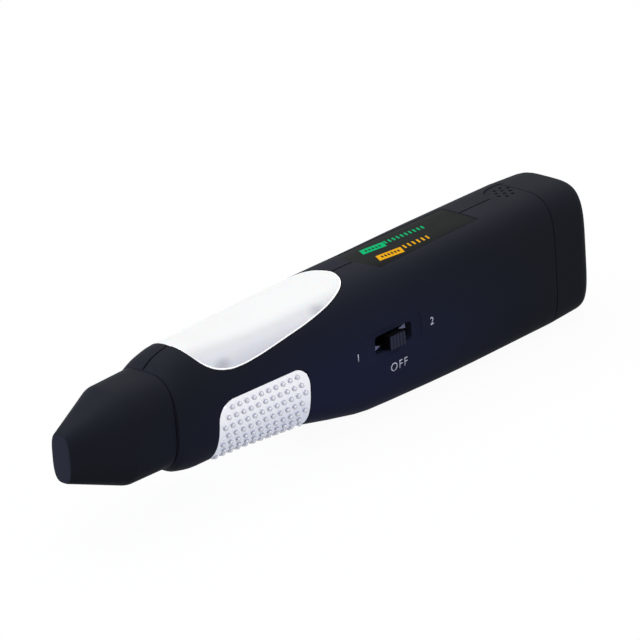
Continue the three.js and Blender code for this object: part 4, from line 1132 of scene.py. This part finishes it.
def dots():
    """All dots in one mesh. Each row keeps its distance from the plate's upper edge."""
    shape = dot_shape()
    bm = bmesh.new()
    length = plate_high.x - plate_low.x
    narrowest = min(grip_lengths(round(x / MM))[-1] for x in spread(plate_low.x, plate_high.x, 9))
    rows = int((narrowest - first_row_drop) / row_pitch)
    for row in range(rows):
        kind = row % 2 if row > 2 else 2 - row
        inset = long_row_inset + kind * dot_pitch / 2
        places = round((length - 2 * inset) / dot_pitch) + 1
        for x in spread(plate_low.x + inset, plate_high.x - inset, places):
            share = 1 - (first_row_drop + row * row_pitch) / grip_lengths(round(x / MM))[-1]
            for side in (-1, 1):
                turn = grip_turn(x, side * share, plate_high.z)
                centre = Vector((x, *on_section(casing_section(x), turn)))
                facing = form_normal(centre, 0.0).to_track_quat("Z", "Y").to_matrix().to_4x4()
                before = len(bm.verts)
                bm.from_mesh(shape)
                bm.verts.ensure_lookup_table()
                bmesh.ops.transform(bm, matrix=Matrix.Translation(centre) @ facing,
                                    verts=bm.verts[before:])
    bpy.data.meshes.remove(shape)
    print("rows on each side", rows, "faces", len(bm.faces))
    return to_object("grip_dots", bm)


settle(shade(dots(), 70), dot_silver, "casing", slot="satin_silver")

# %% [markdown]
# ## Cap
# The cap is a rounded oblong shell. It starts as the same kind of spun and swelled tube, with extra
# rings where the taper meets the skirt so that the shoulder stays crisp but not sharp. A second,
# smaller tube hollows it out.

# %% Cap
cap_rounding = 0.3 * MM
mouth_rounding = 0.1 * MM
shoulder_reach, shoulder_ease = 0.9 * MM, 0.08 * MM
cap_end_wall = 2 * MM
cap_shoulder = cap_low.x + cap_taper


def cap_outer(x):
    """Cap's outside, rounded at its tip and its mouth and eased at the shoulder."""
    inset = edge_round(x, cap_low.x, cap_rounding) + edge_round(x, cap_high.x, mouth_rounding)
    ease = max(0, 1 - abs(x - cap_shoulder) / shoulder_reach)
    return cap_section(x, inset + shoulder_ease * ease * ease)


cap_places = [cap_low.x + cap_rounding * (1 - math.cos(t)) for t in spread(0, math.pi / 2, 7)]
cap_places += spread(cap_low.x + 3 * MM, cap_shoulder - 1.5 * MM, 8)
cap_places += spread(cap_shoulder - shoulder_reach, cap_shoulder + shoulder_reach, 9)
cap_places += spread(cap_shoulder + 2 * MM, cap_high.x - 1 * MM, 6)
cap_places += [cap_high.x - mouth_rounding * (1 - math.sin(t)) for t in spread(0, math.pi / 2, 4)]
cap = tube_of_sections("cap", cap_places, cap_outer)
hollow_front = cap_low.x + cap_end_wall
combine(cap, tube_of_sections("cap_hollow", [hollow_front, hollow_front + 0.3 * MM, cap_shoulder,
                                             cap_high.x + overrun],
                              lambda x: cap_section(x, cap_wall), tool_steps))
settle(shade(cap, 40), soft_black, "cap", "nose_cap", slot="soft_black")
print("cap faces", len(cap.data.polygons))

# %% [markdown]
# ## Slide switch
# The knob has upright ribs. A comb-shaped outline of a few points is filled and pulled up along Z,
# and a bevel takes the bite off every edge. A narrower stem carries it in the slot.

# %% Knob
ribs = 5
rib_depth = 0.13 * MM
rib_shares = (0.7, 0.78, 0.92)
knob_x = switch_x - 0.4 * MM
knob_half = 2.6 * MM
knob_height = 3.2 * MM
knob_softness = 0.09 * MM
stem_half = 1.5 * MM
stem_rise = 0.8 * MM


def comb_outline(crest, back):
    """Points round the ribbed head, seen from above."""
    pitch = 2 * knob_half / ribs
    comb = []
    for i in range(ribs):
        start = knob_x - knob_half + i * pitch
        crest_end, floor_start, floor_end = [start + share * pitch for share in rib_shares]
        comb += [(start, crest), (crest_end, crest), (floor_start, crest + rib_depth),
                 (floor_end, crest + rib_depth)]
    comb = comb[:-2]
    return comb + [(comb[-1][0], back), (knob_x - knob_half, back)]


def switch_knob():
    """Ribbed head that stands proud of the slot, on its stem."""
    head_back, base = switch_face + 0.4 * MM, knob_high.y - 1.2 * MM
    bm = bmesh.new()
    bm.faces.new([bm.verts.new((x, y, switch_z - knob_height / 2))
                  for x, y in comb_outline(knob_low.y, head_back)])
    bmesh.ops.translate(bm, vec=(0, 0, knob_height), verts=list(thickened(bm)))
    head = modified(to_object("ribbed_knob", bm), "BEVEL", width=knob_softness, segments=2,
                    limit_method="ANGLE", angle_limit=math.radians(30))
    stem = block("stem", (knob_x - stem_half, head_back - 0.2 * MM, switch_z - stem_rise),
                 (knob_x + stem_half, base, switch_z + stem_rise))
    return combine(head, stem, "UNION")


knob = switch_knob()
settle(shade(knob, 30), knob_black, "switch", "switch_knob", slot="knob_black")
print("knob faces", len(knob.data.polygons))

# %% [markdown]
# ## Printed marks
# A print is a film of ink. Each mark starts as a flat shape, gets a little thickness and is laid on
# its surface by moving each point there. Only plain marks are used: OFF at the middle place of the
# switch and a number at each end.

# %% Marks on the side
ink = 0.03 * MM


def print_ink(name, bm, place, material, layers=1):
    """Makes a flat shape a film and lays it on a surface. place(across, up, lift) is a point."""
    raised = thickened(bm)
    for vert in bm.verts:
        lift = layers * ink if vert in raised else -ink
        vert.co = Vector(place(vert.co.x, vert.co.y, lift))
    return settle(to_object(name, bm), material, "casing")


def text_shape(words, height, spacing):
    """Flat mesh of a few letters, centred on the origin in X and Y."""
    curve = bpy.data.curves.new(words, "FONT")
    curve.body = words
    curve.size = height
    curve.space_character = spacing
    curve.offset = -0.004 * height
    curve.align_x, curve.align_y = "CENTER", "CENTER"
    writer = bpy.data.objects.new(words, curve)
    bpy.context.scene.collection.objects.link(writer)
    bpy.context.view_layer.update()
    shape = writer.evaluated_get(bpy.context.evaluated_depsgraph_get())
    mesh = bpy.data.meshes.new_from_object(shape)
    bpy.data.objects.remove(writer)
    bm = bmesh.new()
    bm.from_mesh(mesh)
    bpy.data.meshes.remove(mesh)
    bmesh.ops.remove_doubles(bm, verts=bm.verts[:], dist=merge_distance)
    return bm


def on_side(middle_x, middle_z):
    """Way to lay a shape on the near side, centred on a place there."""
    def place(across, up, lift):
        x, z = middle_x + across, middle_z + up
        return x, middle_y - side_distance(x, z) - lift, z
    return place


for name, words, height, spacing, back, up in (("mark_off", "OFF", 2.85, 1.22, 1.2, -6.85),
                                               ("mark_one", "1", 2.6, 1.0, -11.6, -0.8),
                                               ("mark_two", "2", 2.6, 1.0, 12.6, -0.4)):
    print_ink(name, text_shape(words, height * MM, spacing),
              on_side(switch_x + back * MM, switch_z + up * MM), pale_ink)
print("marks printed")

# %% [markdown]
# Two small arrows are printed on the switch body, at the slot's ends, and point at the knob. Each
# is a circle of three corners, stretched to the arrow's length and height.

# %% Arrows in the slot
body_low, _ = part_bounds("switch_body")
arrow_length, arrow_half = 2.1 * MM, 0.62 * MM
triangle_length, triangle_half = 1.5, 0.87


def slot_arrow(name, direction, tip, z):
    """Small triangle on the switch body, with its tip at a place."""
    bm = bmesh.new()
    bmesh.ops.create_circle(bm, cap_ends=True, segments=3, radius=1)
    bmesh.ops.rotate(bm, cent=(0, 0, 0), matrix=Matrix.Rotation(-math.pi / 2, 3, "Z"),
                     verts=bm.verts[:])

    def place(across, up, lift):
        return (tip + direction * (across - 1) * arrow_length / triangle_length,
                body_low.y - lift, z + up * arrow_half / triangle_half)
    return print_ink(name, bm, place, arrow_ink, 2)


slot_arrow("arrow_front", 1, switch_x - 2.2 * MM, switch_z - 1.55 * MM)
slot_arrow("arrow_rear", -1, switch_x + 3.8 * MM, switch_z + 0.45 * MM)
print("arrows printed")

# %% [markdown]
# ## Chips on the label
# The label carries a green and an amber chip that say which lamp means what. Beside each chip is a
# row of plain slanted strokes in its ink, and on it a row of short ticks in the label's black. All
# are slanted oblongs, laid on the label's curve with a film's thickness.

# %% Chips, strokes and ticks
stroke_length = 0.5
chips = [("chip_green", 4.6, 1.05, 6.9, green_ink), ("chip_amber", 4.2, -4.25, 7.3, amber_ink)]
chip_width, chip_slant, chip_rise = 2.4, 1.2, 0.75
rows = [("stroke_green", 10, 12.4, 1.27, 1.3, -0.09, (1.5, 0.5, 0.03), green_ink, 1),
        ("stroke_amber", 6, 13.0, 1.42, -3.95, -0.09, (1.6, 0.5, 0.03), amber_ink, 1),
        ("tick_green", 5, 6.2, 1.0, 1.65, -0.11, (0.8, 0.25, 0.04), label_film, 2),
        ("tick_amber", 6, 5.8, 0.95, -3.6, -0.1, (0.9, 0.25, 0.04), label_film, 2)]


def slanted(back, aside, length, width, slant, rise):
    """Flat oblong on the label, in mm from its front end and the parting plane. Its far edge is
    moved back by the slant, and its rear end to the near side by the rise."""
    corners = [(back, aside), (back + length, aside - rise),
               (back + length + slant, aside - rise + width), (back + slant, aside + width)]
    bm = bmesh.new()
    face = bm.faces.new([bm.verts.new((label_low.x + x * MM, middle_y + y * MM, 0))
                         for x, y in corners])
    bmesh.ops.subdivide_edges(bm, edges=face.edges[:], cuts=3, use_grid_fill=True)
    return bm


def on_label(x, y, lift):
    """Place on the label's top, or a lift above it."""
    return x, y, top_height(x, y, label_top) + lift


for name, back, aside, length, material in chips:
    print_ink(name, slanted(back, aside, length, chip_width, chip_slant, chip_rise), on_label,
              material)
for name, count, back, pitch, aside, drift, shape, material, layers in rows:
    for i in range(count):
        print_ink(f"{name}_{i + 1}",
                  slanted(back + pitch * i, aside + drift * i, stroke_length, *shape),
                  on_label, material, layers)
print("label marks", len(chips) + sum(row[1] for row in rows))

# %% [markdown]
# ## Nose under the cap
# With the cap pulled off, the tester shows its working end: a black cone, a white insulating
# sleeve, the copper pin, and a small clear lamp beside them. All are turned parts, so each is a
# profile spun about the nose's axis, with its edges rounded in the profile itself.

# %% Turned parts of the nose
cone_low, cone_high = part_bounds("nose_cone")
sleeve_low, sleeve_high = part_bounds("probe_sleeve")
pin_low, pin_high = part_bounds("probe_pin")
sleeve_radius = (sleeve_high.z - sleeve_low.z) / 2
pin_radius = 0.8 * MM
lamp_radius = 1.5 * MM
slide_gap = 0.1 * MM


def nose_part(name, points, height=nose_height, steps=48):
    """Turned part of the nose from (place along, radius in mm) points."""
    profile = [(x, radius * MM) for x, radius in points]
    return spun(name, profile, length_axis, Vector((0, middle_y, height)), steps)


def nose_cone():
    """Cone, flange and spring tube in one, bored for the sleeve."""
    tip, rear, flange_back = cone_low.x, cone_high.x, flange_x + 1.6 * MM
    hole = (sleeve_radius + slide_gap) / MM
    points = [(rear, 2.8), (flange_back, 2.8), (flange_back, hole), (tip, hole), (tip, 2.0),
              (tip + 0.1 * MM, 2.2), (tip + 0.3 * MM, 2.36), (tip + 8.8 * MM, 4.32),
              (tip + 9.2 * MM, 4.4), (flange_x, 4.4), (flange_x, 7.2), (flange_back, 7.2),
              (flange_back, 3.6), (rear, 3.6), (rear, 2.8)]
    return nose_part("probe_housing", points, steps=64)


def insulating_sleeve():
    """White sleeve with a rounded mouth."""
    tip, rear = sleeve_low.x, sleeve_high.x
    inner, outer = (pin_radius + slide_gap) / MM, sleeve_radius / MM
    points = [(rear, inner), (tip + 0.1 * MM, inner), (tip, inner + 0.1), (tip, outer - 0.2),
              (tip + 0.06 * MM, outer - 0.06), (tip + 0.2 * MM, outer), (rear, outer),
              (rear, inner)]
    return nose_part("insulator", points)


def contact_pin():
    """Copper pin with a blunt round point and its shoulder."""
    tip, rear, shoulder = pin_low.x, pin_high.x, pin_high.x - 0.9 * MM
    body = pin_radius / MM
    points = [(tip, 0), (tip + 0.03 * MM, 0.16), (tip + 0.12 * MM, 0.28), (tip + 0.3 * MM, 0.4),
              (tip + 1.15 * MM, 0.76), (tip + 1.3 * MM, body), (shoulder, body), (shoulder, 1.4),
              (rear, 1.4), (rear, 0)]
    return nose_part("copper_pin", points)


def small_lamp():
    """Clear lamp with a domed end and a rim."""
    rear, rim, radius = lamp_high.x, lamp_high.x - 0.9 * MM, lamp_radius / MM
    points = [(lamp_low.x + lamp_radius * (1 - math.cos(t)), radius * math.sin(t))
              for t in spread(0, math.pi / 2, 8)]
    points += [(rim, radius), (rim, 1.65), (rear, 1.65), (rear, 0)]
    return nose_part("violet_lamp", points, lamp_height, 32)


settle(shade(nose_cone(), 30), gloss_black, "casing", "nose_cone", slot="gloss_black")
settle(shade(insulating_sleeve(), 50), ceramic, "casing", "probe_sleeve", slot="ceramic_white")
settle(shade(contact_pin(), 50), copper, "probe", "probe_pin", slot="copper")
settle(shade(small_lamp(), 50), violet_lens, "casing", "ultraviolet_lamp", slot="violet_lens")
print("nose parts turned")

# %% [markdown]
# ## Spring behind the pin
# A small circle that is spun about the nose's axis, and moved along it at each step, leaves a
# helix. Its end turns are drawn closer together.

# %% Spring
spring_low, spring_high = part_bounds("probe_spring")
spring_wire = 0.4 * MM
spring_turns = 7
steps_a_turn = 16
spring_closer = 0.25


def coil_spring():
    """Helix of round wire, closer wound at both ends."""
    nose_axis = Vector((0, middle_y, nose_height))
    radius = (spring_high.z - spring_low.z - spring_wire) / 2
    start = spring_low.x + spring_wire / 2
    length = spring_high.x - spring_low.x - spring_wire
    steps = steps_a_turn * spring_turns
    bm = bmesh.new()
    bmesh.ops.create_circle(bm, segments=8, radius=spring_wire / 2)
    bmesh.ops.rotate(bm, cent=(0, 0, 0), matrix=Matrix.Rotation(math.pi / 2, 3, "X"),
                     verts=bm.verts[:])
    bmesh.ops.translate(bm, vec=(start, middle_y, nose_height + radius), verts=bm.verts[:])
    bmesh.ops.spin(bm, geom=bm.verts[:] + bm.edges[:], cent=nose_axis, axis=length_axis,
                   dvec=(length / steps, 0, 0), angle=2 * math.pi * spring_turns, steps=steps)
    bmesh.ops.holes_fill(bm, edges=bm.edges[:], sides=0)
    for vert in bm.verts:
        turn = 2 * math.pi * (vert.co.x - start) / length
        vert.co.x -= length * spring_closer * math.sin(turn) / (2 * math.pi)
    return to_object("probe_coil", bm)


spring = settle(shade(coil_spring(), 50), steel, "casing", "probe_spring", slot="spring_steel")
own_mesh(spring)
print("spring faces", len(spring.data.polygons))

# %% [markdown]
# ## Battery
# The battery shows when the cover is off: a metal can with rolled edges and a sunk end plate, and
# two terminals at its front. The rolled edge is made by two insets of the end face, which is then
# pushed in.

# %% Battery can
can_front = battery_low.x + 2.2 * MM
can_corner = 2.2 * MM
roll_width, roll_slope, roll_depth, roll_softness = 0.7 * MM, 0.2 * MM, 0.5 * MM, 0.15 * MM
terminal_out = 6.35 * MM
terminal_radius = 2.9 * MM
terminal_foot_radii = {1: 2.9 * MM, -1: 3.4 * MM}


def rolled_can():
    """Rounded can with its ends sunk inside rolled rims."""
    can = block("battery_can", (can_front, battery_low.y, battery_low.z), battery_high,
                can_corner, 0, 8)
    with reopened(can) as bm:
        bmesh.ops.remove_doubles(bm, verts=bm.verts[:], dist=merge_distance)
        for end in [f for f in bm.faces if abs(f.normal.x) > 0.9]:
            inwards = -math.copysign(roll_depth, end.normal.x)
            for thickness in (roll_width, roll_slope):
                bmesh.ops.inset_region(bm, faces=[end], thickness=thickness, use_even_offset=True)
            bmesh.ops.translate(bm, vec=(inwards, 0, 0), verts=end.verts[:])
        rounded(bm, [e for e in bm.edges if e.calc_face_angle(0) > math.radians(60)],
                roll_softness, 2)
    return can


def battery_can():
    """Can with both terminals."""
    can = rolled_can()
    middle = (battery_low.z + battery_high.z) / 2
    top, foot, root = battery_low.x, can_front - 0.6 * MM, can_front + 1 * MM
    for side, foot_radius in terminal_foot_radii.items():
        profile = [(top, 0), (top, terminal_radius - 0.2 * MM), (top + 0.2 * MM, terminal_radius),
                   (foot, terminal_radius), (foot, foot_radius), (root, foot_radius), (root, 0)]
        centre = Vector((0, middle_y, middle + side * terminal_out))
        combine(can, spun("terminal", profile, length_axis, centre, 32), "UNION")
    return can


settle(shade(battery_can(), 35), battery_print, "casing", "battery", slot="battery_can")
print("battery in place")

# %% [markdown]
# ## Screws
# The three screws sit in their counterbores on the far side. Each is turned about its own axis, and
# two crossed blocks cut the slot in its head.

# %% Screws
head_radius, shank_radius = 1.8 * MM, 1 * MM
cross_half, cross_reach, cross_depth = 0.25 * MM, 1.1 * MM, 0.6 * MM


def screw(node, x, z):
    """Pan head with a crossed slot, on a plain shank."""
    low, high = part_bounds(node)
    tip, top, head_y = low.y, high.y, high.y - head_height
    profile = [(tip, 0), (tip, 0.5 * MM), (tip + MM, shank_radius), (head_y, shank_radius),
               (head_y, head_radius), (top - 0.55 * MM, head_radius), (top - 0.3 * MM, 1.68 * MM),
               (top - 0.1 * MM, 1.35 * MM), (top, 0.9 * MM), (top, 0)]
    made = spun(f"{node}_steel", profile, width_axis, Vector((x, 0, z)), 40)
    for half_x, half_z in ((cross_half, cross_reach), (cross_reach, cross_half)):
        combine(made, block("cross", (x - half_x, top - cross_depth, z - half_z),
                            (x + half_x, top + MM, z + half_z)))
    return made


for name, (x, _, z) in screws.items():
    settle(shade(screw(name, x, z), 30), steel, "casing", name, slot="spring_steel")
print("screws", len(screws))

# %% [markdown]
# ## Finishes for the parts inside
# The remaining CAD nodes have the right shape already. They stay, and only their material changes.
# The buzzer and the switch body are given a near-black finish as painted shade, because nothing
# shines in the holes above them.

# %% Materials on the CAD nodes that stay
# The near-black on the switch body and the buzzer is painted shade
kept_finishes = {
    "heating_element": ceramic, "spring_plug": gloss_black, "probe_lead": red_sleeve,
    "main_board": board_mask, "switch_body": slot_shade_black, "amber_led": amber_lens,
    "green_led": green_lens, "control_chip": gloss_black, "capacitor": gloss_black,
    "trimmer": blue_body, "plate_contact": brass, "buzzer_disc": slot_shade_black,
    "battery_snap": gloss_black, "red_lead": red_sleeve, "black_lead": black_sleeve,
}
for node, material in kept_finishes.items():
    nodes[node].data.materials.clear()
    nodes[node].data.materials.append(material)
print("nodes that stay", len(kept_finishes))

# %% [markdown]
# ## Studio
# The photograph has a pure white ground, a broad soft light from above and hardly any shadow. The
# floor is white to the camera and still takes a pale shadow. The world is white to the camera and
# in reflections, and dimmer as a light.

# %% Floor and world
floor_glow = 0.95
floor_dimmed = 0.1
ambient = 0.48
plain_white = (1, 1, 1, 1)


def seen_directly(tree):
    """1 for rays from the camera, from a reflection and through clear plastic, 0 for the rest."""
    rays = new_node(tree, "LightPath").outputs
    seen = rays["Is Camera Ray"]
    for also in ("Is Glossy Ray", "Is Transmission Ray"):
        either = new_node(tree, "Math", {0: seen, 1: rays[also]}, operation="MAXIMUM")
        seen = either.outputs["Value"]
    return seen


def floor_material():
    """Pale floor that looks white to the camera and in reflections, and keeps a faint shadow."""
    material = bpy.data.materials.new("studio_floor")
    material.use_nodes = True
    tree = material.node_tree
    tree.nodes.clear()
    seen = seen_directly(tree)
    share = new_node(tree, "Math", {0: seen, 1: floor_glow}, operation="MULTIPLY")
    paleness = new_node(tree, "MapRange", {"Value": seen, "To Min": floor_dimmed})
    matt = new_node(tree, "BsdfDiffuse", {"Color": paleness.outputs["Result"]})
    glow = new_node(tree, "Emission", {"Color": plain_white})
    blend = new_node(tree, "MixShader", {"Fac": share.outputs["Value"], 1: matt.outputs["BSDF"],
                                         2: glow.outputs["Emission"]})
    new_node(tree, "OutputMaterial", {"Surface": blend.outputs["Shader"]})
    return material


def white_floor():
    """Wide flat floor."""
    bm = bmesh.new()
    bmesh.ops.create_grid(bm, x_segments=1, y_segments=1, size=6)
    plane = to_object("floor", bm)
    plane.data.materials.append(floor_material())


def white_world():
    """World that is white to the eye and in reflections and gives an even, dimmer light."""
    world = bpy.data.worlds.new("studio")
    bpy.context.scene.world = world
    world.use_nodes = True
    tree = world.node_tree
    level = new_node(tree, "MapRange", {"Value": seen_directly(tree), "To Min": ambient})
    background = tree.nodes["Background"].inputs
    background["Color"].default_value = plain_white
    tree.links.new(level.outputs["Result"], background["Strength"])


white_floor()
white_world()
print("studio is white")

# %% [markdown]
# The main lamp is a wide panel above and a little behind the tester, so that the top faces are
# lighter than the sides. A weak cool panel in front lifts the near side a little, and another one
# ahead of the nose lights the cap's end.

# %% Lamps
def panel(name, place, target, size, power, colour):
    """Square soft light that faces a target."""
    lamp = bpy.data.lights.new(name, "AREA")
    lamp.size = size
    lamp.energy = power
    lamp.color = colour
    holder = bpy.data.objects.new(name, lamp)
    holder.location = place
    holder.rotation_euler = (Vector(target) - Vector(place)).to_track_quat("-Z", "Y").to_euler()
    bpy.context.scene.collection.objects.link(holder)


panel("top_panel", (0.07, 0.15, 0.48), (0.01, 0, 0.02), 0.48, 1.3, white)
panel("front_panel", (-0.03, -0.35, 0.15), (0, 0, 0.02), 0.2, 0.35, (0.7, 0.75, 1.0))
panel("nose_panel", (-0.6, 0.2, 0.15), (-0.05, 0, 0.02), 0.3, 2.2, (0.72, 0.85, 1.0))
print("lamps", len(bpy.data.lights))

# %% [markdown]
# ## Camera
# The photograph was taken from far off with a long lens: a camera fitted to the outline looks from
# 46 degrees round the nose and 23 degrees above, rolled by 4 degrees.

# %% Camera at the photograph's angle
view_azimuth = math.radians(-45.77)
view_elevation = math.radians(22.52)
view_roll = math.radians(-4.02)
view_distance = 1163.76 * MM
view_target = Vector((cad_low.x + 80.34 * MM, middle_y, 22.8 * MM))
lens_length = 299.19
sensor_width = 36
nearest_seen, farthest_seen = 0.05, 20

back = Vector((math.sin(view_azimuth) * math.cos(view_elevation),
               -math.cos(view_azimuth) * math.cos(view_elevation), math.sin(view_elevation)))
level_right = Vector((math.cos(view_azimuth), math.sin(view_azimuth), 0))
level_up = back.cross(level_right)
right = level_right * math.cos(view_roll) + level_up * math.sin(view_roll)
up = level_up * math.cos(view_roll) - level_right * math.sin(view_roll)
camera = bpy.data.objects.new("camera", bpy.data.cameras.new("camera"))
camera.data.sensor_width = sensor_width
camera.data.lens = lens_length
camera.data.clip_start, camera.data.clip_end = nearest_seen, farthest_seen
facing = Matrix((right, up, back)).transposed().to_4x4()
camera.matrix_world = Matrix.Translation(view_target + back * view_distance) @ facing
bpy.context.scene.collection.objects.link(camera)
bpy.context.scene.camera = camera
bpy.context.scene.view_settings.view_transform = "Standard"
print("camera at", [round(v, 3) for v in camera.matrix_world.translation])
